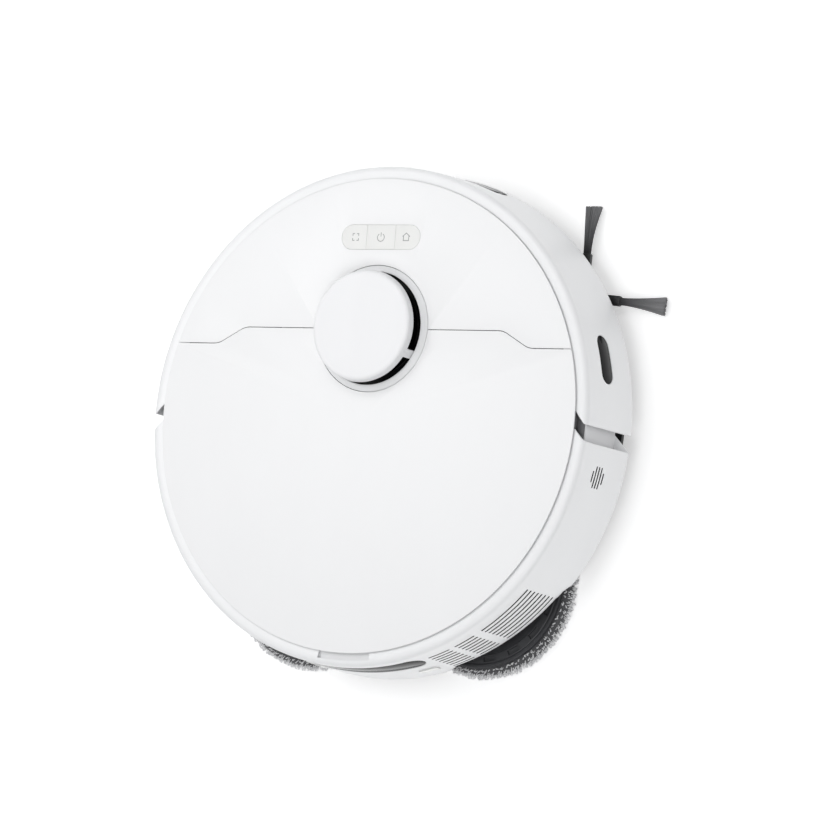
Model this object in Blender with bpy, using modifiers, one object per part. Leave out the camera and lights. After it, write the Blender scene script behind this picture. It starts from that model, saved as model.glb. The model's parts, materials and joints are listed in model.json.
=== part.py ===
"""Robot vacuum and mop: a round floor robot built as separate parts.

Metres, +Z up. X points to the robot's right, Y to its front. The world origin lies on the body's
vertical axis, in the plane of the chassis underside. Every height below is measured from the floor,
and the empty "robot" lowers the whole assembly by UNDERSIDE_Z to the world frame.
"""

import math

import bmesh
import bpy
from mathutils import Vector

MM = 0.001

# ---------------------------------------------------------------- driving dimensions
# body
BODY_RADIUS = 175.0 * MM                    # skirt at its bottom edge
SHOULDER_RADIUS = BODY_RADIUS - 2.8 * MM    # skirt where the shoulder begins
RING_EDGE_RADIUS = BODY_RADIUS - 6.7 * MM   # outer edge of the flat ring
PLATE_RADIUS = BODY_RADIUS - 12.5 * MM
FLANGE_RADIUS = PLATE_RADIUS - 6.0 * MM     # inner edge of the ring, under the plates
DECK_Z = 76.5 * MM                          # top plates
RING_Z = DECK_Z - 1.2 * MM                  # flat ring around the top plates
SHOULDER_Z = RING_Z - 3.6 * MM
SKIRT_Z = 17.7 * MM
WALL = 2.0 * MM
FLANGE = 1.7 * MM
PLATE = 0.9 * MM
GAP = 0.3 * MM                              # between pieces that touch
RUN = 0.4 * MM                              # around a piece that turns or slides
SEGMENTS = 64                               # around the body
ROUND = 28                                  # around turret, wheels and mops

# bumper, and the notch between it and the rear housing
BUMPER_TRAVEL = 5.0 * MM
BUMPER_END_Y = -2.6 * MM                    # its end on the skirt
BUMPER_INNER_Y = 6.9 * MM                   # its end beside the plates
BUMPER_CORNER_X = (BODY_RADIUS - 13.1 * MM, BODY_RADIUS - 4.9 * MM)
HOUSING_END_Y = BUMPER_END_Y - BUMPER_TRAVEL - 6.6 * MM
HOUSING_INNER_Y = BUMPER_INNER_Y - BUMPER_TRAVEL - 8.0 * MM
HOUSING_CORNER_X = (BODY_RADIUS - 11.8 * MM, BODY_RADIUS - 4.3 * MM)
TONGUE_BEARINGS = (-9.0, 4.0)               # from behind to ahead of the widest line
TONGUE_STEP_BEARINGS = (-8.2, -5.6)         # where a tongue joins the skirt
TONGUE_SHELF_BEARINGS = (-8.4, 3.6)
TONGUE_Z = 27.0 * MM
TONGUE_TOP_Z = SHOULDER_Z - 3.7 * MM
SPRING_X = 82.0 * MM
SPRING_Z = 56.0 * MM
SPRING_RADIUS = 2.8 * MM
SPRING_WIRE = 0.45 * MM

# windows and openings in the skirt: bearing, height, length and width
FRONT_WINDOW_HALF = 70.6 * MM
FRONT_WINDOW_Z = (25.7 * MM, 50.7 * MM)
FRONT_WINDOW_CORNER = 10.0 * MM
SIDE_WINDOW_ANGLE = 15.0
SIDE_WINDOW_Z = 48.7 * MM
SIDE_WINDOW_SIZE = (33.7 * MM, 13.6 * MM)
REAR_WINDOW_Z = 57.7 * MM
REAR_WINDOW_SIZE = (106.0 * MM, 19.0 * MM)
WINDOW_INSET = 0.2 * MM
SPEAKER_ANGLE = -11.8
SPEAKER_Z = 49.9 * MM
SPEAKER_PITCH = 3.2 * MM
SPEAKER_SLOT = 1.4 * MM
SPEAKER_RADIUS = 14.0 * MM
SPEAKER_DEPTH = 14.0 * MM
CONTACT_ANGLES = (-105.0, -75.0)
CONTACT_SIZE = (14.0 * MM, 7.0 * MM)
CONTACT_CORNER = 1.2 * MM
CONTACT_DEPTH = 2.6 * MM
CONTACT_Z = 35.0 * MM
VENT_GROUPS = ((-48.3, 14.4), (-60.4, 5.4), (-67.4, 5.6))   # bearing of the middle, width
VENT_ROWS = 8
VENT_TOP_Z = 61.0 * MM
VENT_PITCH = 4.75 * MM
VENT_SLOT = 1.6 * MM
EXHAUST_ANGLE = -54.0
EXHAUST_HALF = 26.0 * MM
EXHAUST_Z = (34.0 * MM, 62.0 * MM)
RECESS_RADIUS = BODY_RADIUS - 7.6 * MM      # finger recess behind the rear cover
RECESS_ANGLE = 7.0
RECESS_DEPTH = 3.2 * MM

# chassis
UNDERSIDE_Z = 12.0 * MM
CHASSIS = 3.0 * MM
CHASSIS_TOP_Z = UNDERSIDE_Z + CHASSIS
CHASSIS_RADIUS = BODY_RADIUS - 9.0 * MM
FRAME_RADIUS = BODY_RADIUS - 17.0 * MM
FRAME_WALL = 2.5 * MM
FRAME_Z = DECK_Z - 3.5 * MM
INNER_DECK_Z = DECK_Z - 5.5 * MM
INNER_DECK = 1.5 * MM
CLIFF_BEARINGS = (50.0, 130.0, -6.0, 186.0)
CLIFF_SIZE = (12.0 * MM, 6.0 * MM, 1.5 * MM)
CLIFF_INSET = 12.0 * MM

# line between the fixed front panel and the lift-off rear cover
SPLIT_SIDE_Y = 47.3 * MM
SPLIT_MIDDLE_Y = 58.9 * MM
SPLIT_SIDE_X = 122.6 * MM
SPLIT_MIDDLE_X = 102.2 * MM
SPLIT_GAP = 0.5 * MM

# laser turret
TURRET_Y = 59.1 * MM
TURRET_RADIUS = 43.4 * MM
TURRET_NECK_RADIUS = TURRET_RADIUS - 3.8 * MM
TURRET_FOOT_Z = DECK_Z - 5.0 * MM
SLOT_Z = DECK_Z + 2.3 * MM
CAP_Z = DECK_Z + 10.5 * MM
CAP_TOP_Z = CAP_Z + 6.0 * MM
CAP_RADIUS = TURRET_RADIUS - 4.9 * MM
CAP_TOP_RADIUS = CAP_RADIUS - 3.1 * MM
CAP_TRAVEL = 1.5 * MM
RIB_ANGLES = (-28.0, 90.0, 208.0)
RIB_WIDTH = 6.0 * MM
HEAD_RADIUS = CAP_RADIUS - 5.5 * MM
HEAD_ROOM = 4.7 * MM                        # over the head when the cap is pressed
LENS_Z = SLOT_Z + 2.0 * MM
LENSES = ((-12.0 * MM, 2.65 * MM), (11.0 * MM, 3.15 * MM))  # place along X, radius
PULLEY_RADIUS = HEAD_RADIUS - 3.0 * MM
MOTOR_PULLEY_RADIUS = 6.0 * MM
MOTOR_SHAFT_RADIUS = 1.5 * MM
LIDAR_PLATE_Z = DECK_Z - 16.5 * MM
LIDAR_PLATE = 2.5 * MM
BELT_Z = LIDAR_PLATE_Z + 5.5 * MM
BELT_WIDTH = 3.0 * MM
BELT = 1.0 * MM
LIDAR_MOTOR_RADIUS = 9.0 * MM
LIDAR_MOTOR_HEIGHT = 7.0 * MM
LIDAR_MOTOR_BEARING = math.radians(144.4)
LIDAR_MOTOR_REACH = TURRET_RADIUS + LIDAR_MOTOR_RADIUS + 4.2 * MM
LIDAR_MOTOR_XY = (LIDAR_MOTOR_REACH * math.cos(LIDAR_MOTOR_BEARING),
                  TURRET_Y + LIDAR_MOTOR_REACH * math.sin(LIDAR_MOTOR_BEARING))

# buttons and main board
PILL_Y = 122.0 * MM
PILL_LENGTH = 62.0 * MM
PILL_WIDTH = 17.0 * MM
BUTTON = 2.2 * MM
BUTTON_SPLIT_X = 11.3 * MM
BUTTON_PITCH = 20.0 * MM
BUTTON_TRAVEL = 0.8 * MM
BUTTON_STEM_RADIUS = 2.0 * MM
BOARD_Z = DECK_Z - 10.5 * MM
BOARD = 1.6 * MM
BOARD_HALF = 50.0 * MM
BOARD_Y = (105.0 * MM, 145.0 * MM)
SWITCH_HALF = 3.0 * MM
SWITCH_Z = BOARD_Z + 4.5 * MM
PROCESSOR = ((-40.0 * MM, 130.0 * MM), (-25.0 * MM, 142.0 * MM))
PROCESSOR_HEIGHT = 1.6 * MM

# main brush
BRUSH_Y = 52.0 * MM
BRUSH_RADIUS = 19.4 * MM
BRUSH_Z = BRUSH_RADIUS + 0.6 * MM
BRUSH_CORE_RADIUS = BRUSH_RADIUS - 6.4 * MM
BRUSH_HALF = 78.0 * MM
BRUSH_STUB_RADIUS = 3.0 * MM
BRUSH_FINS = 5
BRUSH_SWEEP = math.radians(50.0)
BRUSH_ROOM = BRUSH_RADIUS + 1.6 * MM        # radius of the tunnel around it
HOUSING_WALL = 3.0 * MM
HOUSING_TOP_Z = BRUSH_Z + BRUSH_ROOM + HOUSING_WALL + 2.0 * MM
GUARD_HALF = BRUSH_HALF + HOUSING_WALL + 3.6 * MM
GUARD_DEPTH = BRUSH_RADIUS + 5.6 * MM
BRUSH_MOTOR = ((-84.0 * MM, -12.0 * MM), (-50.0 * MM, 10.0 * MM))   # X, and Y from the brush
BRUSH_MOTOR_HEIGHT = 12.0 * MM

# drive wheels
WHEEL_Y = 6.0 * MM
WHEEL_RADIUS = 35.0 * MM
WHEEL_X = 115.0 * MM
TYRE_WIDTH = 22.0 * MM
TYRE = 5.0 * MM
AXLE_RADIUS = 4.0 * MM
AXLE_DEPTH = 5.5 * MM                       # of the bore in the arm
ARM_X = 96.0 * MM
ARM_WIDTH = 12.0 * MM
ARM_RADIUS = 12.0 * MM
PIVOT_Y = WHEEL_Y + WHEEL_RADIUS + 9.0 * MM
PIVOT_Z = 30.0 * MM
PIVOT_RADIUS = 9.0 * MM
PIN_RADIUS = 3.0 * MM
PIN_REACH = 3.6 * MM                        # of the pin beyond the arm
EAR = 3.2 * MM
EAR_GAP = 0.8 * MM
WHEEL_SPRING_RADIUS = 4.4 * MM
WHEEL_SPRING_WIRE = 0.7 * MM

# battery, in front of the main brush
BATTERY_SIZE = (130.0 * MM, 22.0 * MM, 36.0 * MM)
BATTERY_Y = BRUSH_Y + BRUSH_ROOM + HOUSING_WALL + 1.5 * MM

# caster, in front of the battery
CASTER_TRAIL = 8.0 * MM
CASTER_RADIUS = 13.0 * MM
CASTER_WIDTH = 14.0 * MM
CASTER_STEM_RADIUS = 3.0 * MM
CASTER_AXLE_RADIUS = 1.6 * MM
CASTER_LEG = 2.5 * MM
CASTER_ROOM = CASTER_TRAIL + CASTER_RADIUS + 3.0 * MM
CASTER_SOCKET_Z = 36.0 * MM
CASTER_Y = BATTERY_Y + BATTERY_SIZE[1] + CASTER_ROOM + WALL + 2.5 * MM

# side brush
SIDE_BRUSH_XY = (122.5 * MM, 93.0 * MM)
SIDE_BRUSH_HUB_RADIUS = 9.0 * MM
SIDE_BRUSH_HUB_Z = 5.5 * MM
SIDE_BRUSH_STEM_RADIUS = 3.0 * MM
SIDE_BRUSH_CLIP = 30.0 * MM
SIDE_BRUSH_CLIP_Z = (6.0 * MM, 10.0 * MM)
SIDE_BRUSH_CLIP_HALF = 3.5 * MM
SIDE_BRUSH_REACH = 63.0 * MM
SIDE_BRUSH_FLARE = 6.5 * MM                 # half width of a tuft at its tip
SIDE_BRUSH_ARMS = (89.0, -5.0)
BRISTLES_Z = (3.0 * MM, 5.2 * MM)
SIDE_MOTOR_RADIUS = 11.0 * MM
SIDE_MOTOR_HEIGHT = 25.0 * MM

# mops
PAD_RADIUS = 67.5 * MM
PAD = 10.0 * MM
MOP_X = PAD_RADIUS + 0.5 * MM
MOP_Y = 73.0 * MM - BODY_RADIUS              # far enough back to show beyond the skirt
HOLDER_RADIUS = PAD_RADIUS - 6.5 * MM
HOLDER = 3.2 * MM
HOLDER_TOP_Z = PAD + GAP + HOLDER
MOP_BAY_RADIUS = PAD_RADIUS + 3.0 * MM
MOP_BAY_Z = 27.5 * MM
MOP_LIFT = 7.0 * MM
MOP_SHAFT_RADIUS = 5.0 * MM
MOP_SHAFT_HOLE = MOP_SHAFT_RADIUS + 7.0 * MM
MOP_HUB_RADIUS = 14.0 * MM
MOP_HUB = 5.0 * MM
ARCH_CLEARANCE = 1.5 * MM
GEARBOX_Z = 31.0 * MM
GEARBOX = 15.0 * MM
GEARBOX_HALF = (MOP_X + 17.0 * MM, 19.0 * MM)
MOP_MOTOR_RADIUS = 14.0 * MM
MOP_MOTOR_HEIGHT = 15.5 * MM

# dustbin, seen from above: left, right, rear, front
BIN = (-70.0 * MM, 76.0 * MM, -76.0 * MM, 12.0 * MM)
BIN_Z = 32.0 * MM
BIN_HEIGHT = 35.0 * MM
BIN_WALL = 1.8 * MM
BIN_CORNER = 5.0 * MM
LID = 2.5 * MM
GRIP = ((-20.0 * MM, -24.0 * MM), (26.0 * MM, -12.0 * MM))     # X, and Y from the bin's front
GRIP_HEIGHT = 3.0 * MM
LATCH = ((-12.0 * MM, 3.0 * MM), (18.0 * MM, 13.0 * MM))       # X, and Y from the bin's rear
LATCH_HEIGHT = 3.0 * MM
INLET_HALF = 40.0 * MM
INLET_Z = 34.8 * MM
INLET_HEIGHT = 11.0 * MM
DUCT_WALL = 1.5 * MM
OUTLET_REAR = 12.0 * MM                     # from the bin's rear wall
OUTLET_FRONT = 34.0 * MM                    # from the bin's front wall
FILTER_THICK = 9.0 * MM
FILTER_EDGE = 2.0 * MM                      # of the filter beyond the outlet

# fan and tank
FAN_XY = (108.0 * MM, -60.0 * MM)
FAN_RADIUS = 22.0 * MM
FAN_Z = 32.0 * MM
FAN_HEIGHT = 30.0 * MM
FAN_FLOOR = 12.0 * MM                       # depth of the motor under the impeller
FAN_INLET_RADIUS = 10.0 * MM
FAN_SHAFT_RADIUS = 1.5 * MM
FAN_BLADES = 8
TANK = (-130.0 * MM, -82.0 * MM, -78.0 * MM, -40.0 * MM)
TANK_Z = 32.0 * MM
TANK_HEIGHT = 37.0 * MM
TANK_CORNER = 6.0 * MM
TANK_FILLER_RADIUS = 5.0 * MM

# ---------------------------------------------------------------- scene and helpers
for old in list(bpy.data.objects):
    bpy.data.objects.remove(old, do_unlink=True)


def collection(name):
    made = bpy.data.collections.new(name)
    bpy.context.scene.collection.children.link(made)
    return made


PARTS = collection("robot_vacuum")
CUTTERS = collection("cutters")


def empty(name, at, home=None):
    """An empty at a place in the robot's own frame. Moving pieces hang from one on their axis."""
    made = bpy.data.objects.new(name, None)
    PARTS.objects.link(made)
    made["centre"] = list(at)
    made.empty_display_size = 0.01
    if home:
        made.parent = home
        made.location = Vector(at) - Vector(home["centre"])
    return made


def add(name, mesh, at, home, part):
    made = bpy.data.objects.new(name, mesh)
    (PARTS if part else CUTTERS).objects.link(made)
    made.parent = home
    made.location = Vector(at) - Vector(home["centre"])
    if not part:
        made.hide_render = True
        made.display_type = "WIRE"
    return made


def finish(obj, colour, roughness, metallic=0.0, sharp=35.0):
    """Give a part its own material and smooth its round faces."""
    material = bpy.data.materials.new(obj.name)
    material.use_nodes = True
    shader = material.node_tree.nodes["Principled BSDF"]
    shader.inputs["Base Color"].default_value = (*colour, 1.0)
    shader.inputs["Roughness"].default_value = roughness
    shader.inputs["Metallic"].default_value = metallic
    obj.data.materials.clear()
    obj.data.materials.append(material)
    obj.data.shade_smooth()
    obj.data.set_sharp_from_angle(angle=math.radians(sharp))
    return obj


def mesh_from(build):
    mesh = bpy.data.meshes.new("shape")
    shape = bmesh.new()
    build(shape)
    shape.to_mesh(mesh)
    shape.free()
    return mesh


def box(name, low, high, home, part=False):
    low, high = Vector(low), Vector(high)
    mesh = mesh_from(lambda shape: bmesh.ops.create_cube(shape, size=1.0))
    for vertex in mesh.vertices:
        vertex.co = Vector(a * b for a, b in zip(vertex.co, high - low))
    return add(name, mesh, (low + high) / 2, home, part)


AXIS_TURN = {"Z": (0, 0, 0), "X": (0, math.pi / 2, 0), "Y": (-math.pi / 2, 0, 0)}


def rod(name, radius, start, length, home, axis="Z", steps=18, part=False, end_radius=None):
    """A cylinder or cone that runs from its start point along +X, +Y or +Z."""
    end = radius if end_radius is None else end_radius
    mesh = mesh_from(lambda shape: bmesh.ops.create_cone(
        shape, cap_ends=True, segments=steps, radius1=radius, radius2=end, depth=length))
    way = Vector([1.0 if axis == letter else 0.0 for letter in "XYZ"])
    made = add(name, mesh, Vector(start) + way * length / 2, home, part)
    made.rotation_euler = AXIS_TURN[axis]
    return made


def turned(name, profile, at, home, steps=ROUND, axis="Z", part=False):
    """A closed or axis-to-axis profile of (radius, height) points, turned with Screw."""
    mesh = bpy.data.meshes.new(name)
    points = [(radius, 0.0, height) for radius, height in profile]
    closed = profile[0][0] > 1e-9
    edges = [(i, i + 1) for i in range(len(points) - 1)]
    if closed:
        edges.append((len(points) - 1, 0))
    mesh.from_pydata(points, edges, [])
    made = add(name, mesh, at, home, part)
    made.rotation_euler = AXIS_TURN[axis]
    screw = made.modifiers.new("turn", "SCREW")
    screw.steps = steps
    screw.render_steps = steps
    screw.use_merge_vertices = True
    screw.merge_threshold = 0.00001
    screw.use_smooth_shade = True
    return made


def flat(name, outline, low, high, home, part=False, origin=(0.0, 0.0)):
    """A flat outline in X and Y, filled as a 2D curve and extruded between two heights."""
    curve = bpy.data.curves.new(name, "CURVE")
    curve.dimensions = "2D"
    curve.fill_mode = "BOTH"
    curve.extrude = (high - low) / 2
    spline = curve.splines.new("POLY")
    spline.points.add(len(outline) - 1)
    for point, (x, y) in zip(spline.points, outline):
        point.co = (x - origin[0], y - origin[1], 0.0, 1.0)
    spline.use_cyclic_u = True
    guide = bpy.data.objects.new(name + "_guide", curve)
    CUTTERS.objects.link(guide)
    evaluated = guide.evaluated_get(bpy.context.evaluated_depsgraph_get())
    mesh = bpy.data.meshes.new_from_object(evaluated)
    bpy.data.objects.remove(guide, do_unlink=True)
    shape = bmesh.new()
    shape.from_mesh(mesh)
    bmesh.ops.remove_doubles(shape, verts=shape.verts, dist=0.00001)
    bmesh.ops.recalc_face_normals(shape, faces=shape.faces)
    shape.to_mesh(mesh)
    shape.free()
    return add(name, mesh, (origin[0], origin[1], (low + high) / 2), home, part)


def wire(name, points, radius, home, bevel=0, part=False):
    """A round wire along a list of points, as a mesh with welded caps."""
    curve = bpy.data.curves.new(name, "CURVE")
    curve.dimensions = "3D"
    curve.bevel_depth = radius
    curve.bevel_resolution = bevel
    curve.use_fill_caps = True
    spline = curve.splines.new("POLY")
    spline.points.add(len(points) - 1)
    start = Vector(points[0])
    for point, place in zip(spline.points, points):
        point.co = (*(Vector(place) - start), 1.0)
    guide = bpy.data.objects.new(name + "_guide", curve)
    CUTTERS.objects.link(guide)
    evaluated = guide.evaluated_get(bpy.context.evaluated_depsgraph_get())
    mesh = bpy.data.meshes.new_from_object(evaluated)
    bpy.data.objects.remove(guide, do_unlink=True)
    shape = bmesh.new()
    shape.from_mesh(mesh)
    bmesh.ops.remove_doubles(shape, verts=shape.verts, dist=0.00001)
    bmesh.ops.recalc_face_normals(shape, faces=shape.faces)
    shape.to_mesh(mesh)
    shape.free()
    return add(name, mesh, start, home, part)


def boolean(target, operation, others):
    for other in others:
        step = target.modifiers.new(other.name, "BOOLEAN")
        step.operation = operation
        step.solver = "EXACT"
        step.object = other
    return target


def cut(target, *others):
    return boolean(target, "DIFFERENCE", others)


def join(target, *others):
    return boolean(target, "UNION", others)


def keep(target, *others):
    return boolean(target, "INTERSECT", others)


def polar(radius, degrees, centre=(0.0, 0.0)):
    angle = math.radians(degrees)
    return (centre[0] + radius * math.cos(angle), centre[1] + radius * math.sin(angle))


def arc(radius, start, end, steps, centre=(0.0, 0.0)):
    """Points on an arc, angles in degrees."""
    return [polar(radius, start + (end - start) * i / steps, centre) for i in range(steps + 1)]


def capsule(centre, length, width, steps=6):
    """Outline of a pill that lies along X."""
    reach = (length - width) / 2
    right = arc(width / 2, -90, 90, steps, (centre[0] + reach, centre[1]))
    left = arc(width / 2, 90, 270, steps, (centre[0] - reach, centre[1]))
    return right + left


def rounded(low, high, radius, steps=4):
    """Outline of a rectangle with round corners."""
    (x0, y0), (x1, y1) = low, high
    points = arc(radius, 0, 90, steps, (x1 - radius, y1 - radius))
    points += arc(radius, 90, 180, steps, (x0 + radius, y1 - radius))
    points += arc(radius, 180, 270, steps, (x0 + radius, y0 + radius))
    points += arc(radius, 270, 360, steps, (x1 - radius, y0 + radius))
    return points


def wall_radius(height):
    """Outer radius of the skirt at a height: it leans out towards the floor."""
    share = (SHOULDER_Z - height) / (SHOULDER_Z - SKIRT_Z)
    return SHOULDER_RADIUS + (BODY_RADIUS - SHOULDER_RADIUS) * share


def wall_plug(name, outline, degrees, home, low, high, part=False):
    """A prism through the skirt. Its outline is (along the wall, height), at a bearing."""
    made = flat(name, outline, low, high, home, part)
    turn = math.radians(degrees)
    made.rotation_mode = "XYZ"
    made.rotation_euler = (math.pi / 2, 0.0, turn + math.pi / 2)
    middle = (low + high) / 2
    made.location = Vector((middle * math.cos(turn), middle * math.sin(turn), 0.0))
    made.location -= Vector(home["centre"])
    return made


def coil(centre, radius, turns, start, end, axis, per_turn=6):
    """Points of a helix along Y or Z, from start to end on that axis."""
    points = []
    count = int(turns * per_turn)
    for i in range(count + 1):
        angle = 2 * math.pi * turns * i / count
        run = start + (end - start) * i / count
        side, other = radius * math.cos(angle), radius * math.sin(angle)
        if axis == "Y":
            points.append((centre[0] + side, run, centre[1] + other))
        else:
            points.append((centre[0] + side, centre[1] + other, run))
    return points


# ---------------------------------------------------------------- colours
WHITE = (0.86, 0.86, 0.87)
LIGHT_GREY = (0.68, 0.68, 0.69)
MID_GREY = (0.30, 0.30, 0.31)
RUBBER_GREY = (0.16, 0.17, 0.18)
DARK = (0.035, 0.036, 0.038)
BLACK = (0.012, 0.012, 0.013)
SMOKE = (0.09, 0.095, 0.10)
STEEL = (0.62, 0.62, 0.63)
GREEN = (0.03, 0.16, 0.08)
FIBRE = (0.62, 0.63, 0.64)
WRAP_BLUE = (0.05, 0.07, 0.12)
ORANGE = (0.45, 0.12, 0.02)

# ---------------------------------------------------------------- moving frames
ROBOT = empty("robot", (0.0, 0.0, 0.0))
ROBOT.location = (0.0, 0.0, -UNDERSIDE_Z)
ON_BUMPER = empty("bumper_slide", (0.0, BODY_RADIUS, SKIRT_Z), ROBOT)
ON_COVER = empty("cover_slide", (0.0, 0.0, DECK_Z), ROBOT)
ON_BIN = empty("dustbin_slide", (0.0, (BIN[2] + BIN[3]) / 2, BIN_Z), ROBOT)
ON_LATCH = empty("latch_slide", (0.0, BIN[2], BIN_Z + BIN_HEIGHT), ON_BIN)
ON_CAP = empty("cap_slide", (0.0, TURRET_Y, CAP_Z), ROBOT)
ON_HEAD = empty("head_axis", (0.0, TURRET_Y, SLOT_Z), ROBOT)
ON_PULLEY = empty("pulley_axis", (*LIDAR_MOTOR_XY, BELT_Z), ROBOT)
ON_BRUSH = empty("main_brush_axis", (0.0, BRUSH_Y, BRUSH_Z), ROBOT)
ON_SIDE_BRUSH = empty("side_brush_axis", (*SIDE_BRUSH_XY, UNDERSIDE_Z), ROBOT)
ON_SWIVEL = empty("caster_swivel_axis", (0.0, CASTER_Y, CASTER_RADIUS), ROBOT)
ON_CASTER = empty("caster_axle", (0.0, CASTER_Y - CASTER_TRAIL, CASTER_RADIUS), ON_SWIVEL)
ON_FAN = empty("fan_axis", (*FAN_XY, FAN_Z), ROBOT)
ON_CARRIAGE = empty("mop_carriage_slide", (0.0, MOP_Y, GEARBOX_Z), ROBOT)


# ---------------------------------------------------------------- body shell
def shoulder(radius, height, width, drop, steps):
    """Rounded edge from the flat ring down to the skirt."""
    return [(radius + width * math.sin(math.pi / 2 * i / steps),
             height - drop * (1 - math.cos(math.pi / 2 * i / steps))) for i in range(steps + 1)]


def shell_profile():
    """Cross-section of bumper and rear housing: flange, shoulder and skirt of one thickness."""
    outer = [(FLANGE_RADIUS, RING_Z)]
    outer += shoulder(RING_EDGE_RADIUS, RING_Z, SHOULDER_RADIUS - RING_EDGE_RADIUS,
                      RING_Z - SHOULDER_Z, 4)
    outer.append((BODY_RADIUS, SKIRT_Z))
    inner = [(BODY_RADIUS - WALL, SKIRT_Z)]
    inner += reversed(shoulder(RING_EDGE_RADIUS, RING_Z - FLANGE,
                               SHOULDER_RADIUS - RING_EDGE_RADIUS - WALL,
                               RING_Z - SHOULDER_Z - FLANGE, 2))
    inner.append((FLANGE_RADIUS, RING_Z - FLANGE))
    return outer + inner


def window_glass(name, outline, degrees, home, colour):
    """A dark window that fills its opening in the skirt, and a cutter for that opening."""
    ring = [(SHOULDER_RADIUS - WINDOW_INSET, SHOULDER_Z), (BODY_RADIUS - WINDOW_INSET, SKIRT_Z),
            (BODY_RADIUS - WALL, SKIRT_Z), (SHOULDER_RADIUS - WALL, SHOULDER_Z)]
    glass = turned(name, ring, (0.0, 0.0, 0.0), home, SEGMENTS, part=True)
    keep(glass, wall_plug(name + "_outline", outline(0.0), degrees, home,
                          BODY_RADIUS - 14 * MM, BODY_RADIUS + 5 * MM))
    finish(glass, colour, 0.08)
    return wall_plug(name + "_opening", outline(GAP), degrees, home,
                     BODY_RADIUS - 18 * MM, BODY_RADIUS + 6 * MM)


def front_window_outline(grow):
    low = (-FRONT_WINDOW_HALF - grow, FRONT_WINDOW_Z[0] - grow)
    high = (FRONT_WINDOW_HALF + grow, FRONT_WINDOW_Z[1] + grow)
    return rounded(low, high, FRONT_WINDOW_CORNER + grow, 4)


def side_window_outline(grow):
    length, width = SIDE_WINDOW_SIZE
    return capsule((0.0, SIDE_WINDOW_Z), length + 2 * grow, width + 2 * grow)


def rear_window_outline(grow):
    length, width = REAR_WINDOW_SIZE
    return capsule((0.0, REAR_WINDOW_Z), length + 2 * grow, width + 2 * grow)


def notch_side(end_y, inner_y, corner_x, far_y):
    """Area on one side of a notch's face, which runs diagonally across the flat ring."""
    reach = BODY_RADIUS + 25 * MM
    near, outer = corner_x
    return [(-reach, far_y), (reach, far_y), (reach, end_y), (outer, end_y), (near, inner_y),
            (-near, inner_y), (-outer, end_y), (-reach, end_y)]


def front_bumper():
    bumper = turned("front_bumper", shell_profile(), (0, 0, 0), ON_BUMPER, SEGMENTS, part=True)
    behind = notch_side(BUMPER_END_Y, BUMPER_INNER_Y, BUMPER_CORNER_X, -BODY_RADIUS - 25 * MM)
    cut(bumper,
        flat("behind_bumper", behind, 0.0, CAP_TOP_Z, ON_BUMPER),
        window_glass("front_window", front_window_outline, 90.0, ON_BUMPER, BLACK),
        window_glass("side_window", side_window_outline, SIDE_WINDOW_ANGLE, ON_BUMPER, BLACK))
    finish(bumper, WHITE, 0.35)


def speaker_slots(home):
    """Five rows of slots, the outer two shorter."""
    slots = []
    for row in range(-2, 3):
        half = 4.0 * MM if abs(row) == 2 else 7.5 * MM
        height = SPEAKER_Z + row * SPEAKER_PITCH
        outline = rounded((-half, height - SPEAKER_SLOT / 2), (half, height + SPEAKER_SLOT / 2),
                          0.6 * MM, 1)
        slots.append(wall_plug(f"speaker_slot_{row + 3}", outline, SPEAKER_ANGLE, home,
                               BODY_RADIUS - 8 * MM, BODY_RADIUS + 5 * MM))
    return slots


def vent_slots(home):
    slots = []
    for group, (bearing, width) in enumerate(VENT_GROUPS):
        half = BODY_RADIUS * math.sin(math.radians(width / 2))
        for row in range(VENT_ROWS):
            height = VENT_TOP_Z - row * VENT_PITCH
            low = (-half, height - VENT_SLOT / 2)
            slots.append(wall_plug(f"vent_{group}_{row}",
                                   [low, (half, low[1]), (half, low[1] + VENT_SLOT),
                                    (-half, low[1] + VENT_SLOT)],
                                   bearing, home, BODY_RADIUS - 9 * MM, BODY_RADIUS + 5 * MM))
    return slots


def sector(outer, inner, start, end, side, steps=4):
    """Outline of a ring sector between two bearings ahead of the widest line, on one side."""
    start, end = 90 - side * (90 - start), 90 - side * (90 - end)
    return arc(outer, start, end, steps) + arc(inner, end, start, steps)


def tongue(side):
    """Inner wall that closes the notch from inside, and the step that ties it to the skirt."""
    inner, outer = FRAME_RADIUS + FRAME_WALL + 5.5 * MM, SHOULDER_RADIUS - WALL - 2.2 * MM
    wall = sector(outer, inner, *TONGUE_BEARINGS, side)
    step = sector(SHOULDER_RADIUS - WALL / 2, inner + WALL / 2, *TONGUE_STEP_BEARINGS, side, 2)
    shelf = sector(outer - WALL / 2, FRAME_RADIUS + FRAME_WALL + GAP, *TONGUE_SHELF_BEARINGS, side)
    top = TONGUE_TOP_Z
    return [flat(f"tongue_{side}", wall, TONGUE_Z, top, ROBOT),
            flat(f"tongue_step_{side}", step, TONGUE_Z + WALL, top - WALL / 4, ROBOT),
            flat(f"tongue_shelf_{side}", shelf, top - WALL, top - WALL / 8, ROBOT)]


def charge_contact(name, bearing):
    """A plated contact in the skirt, and a cutter for its opening."""
    half, tall = CONTACT_SIZE[0] / 2, CONTACT_SIZE[1] / 2
    reach = wall_radius(CONTACT_Z)
    outline = rounded((-half, CONTACT_Z - tall), (half, CONTACT_Z + tall), CONTACT_CORNER, 2)
    contact = wall_plug(name, outline, bearing, ROBOT, reach - CONTACT_DEPTH, reach + 0.1 * MM, True)
    finish(contact, STEEL, 0.3, 1.0)
    hole = rounded((-half - GAP, CONTACT_Z - tall - GAP), (half + GAP, CONTACT_Z + tall + GAP),
                   CONTACT_CORNER + GAP, 2)
    return wall_plug(name + "_opening", hole, bearing, ROBOT, reach - 8 * MM, reach + 5 * MM)


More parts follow.
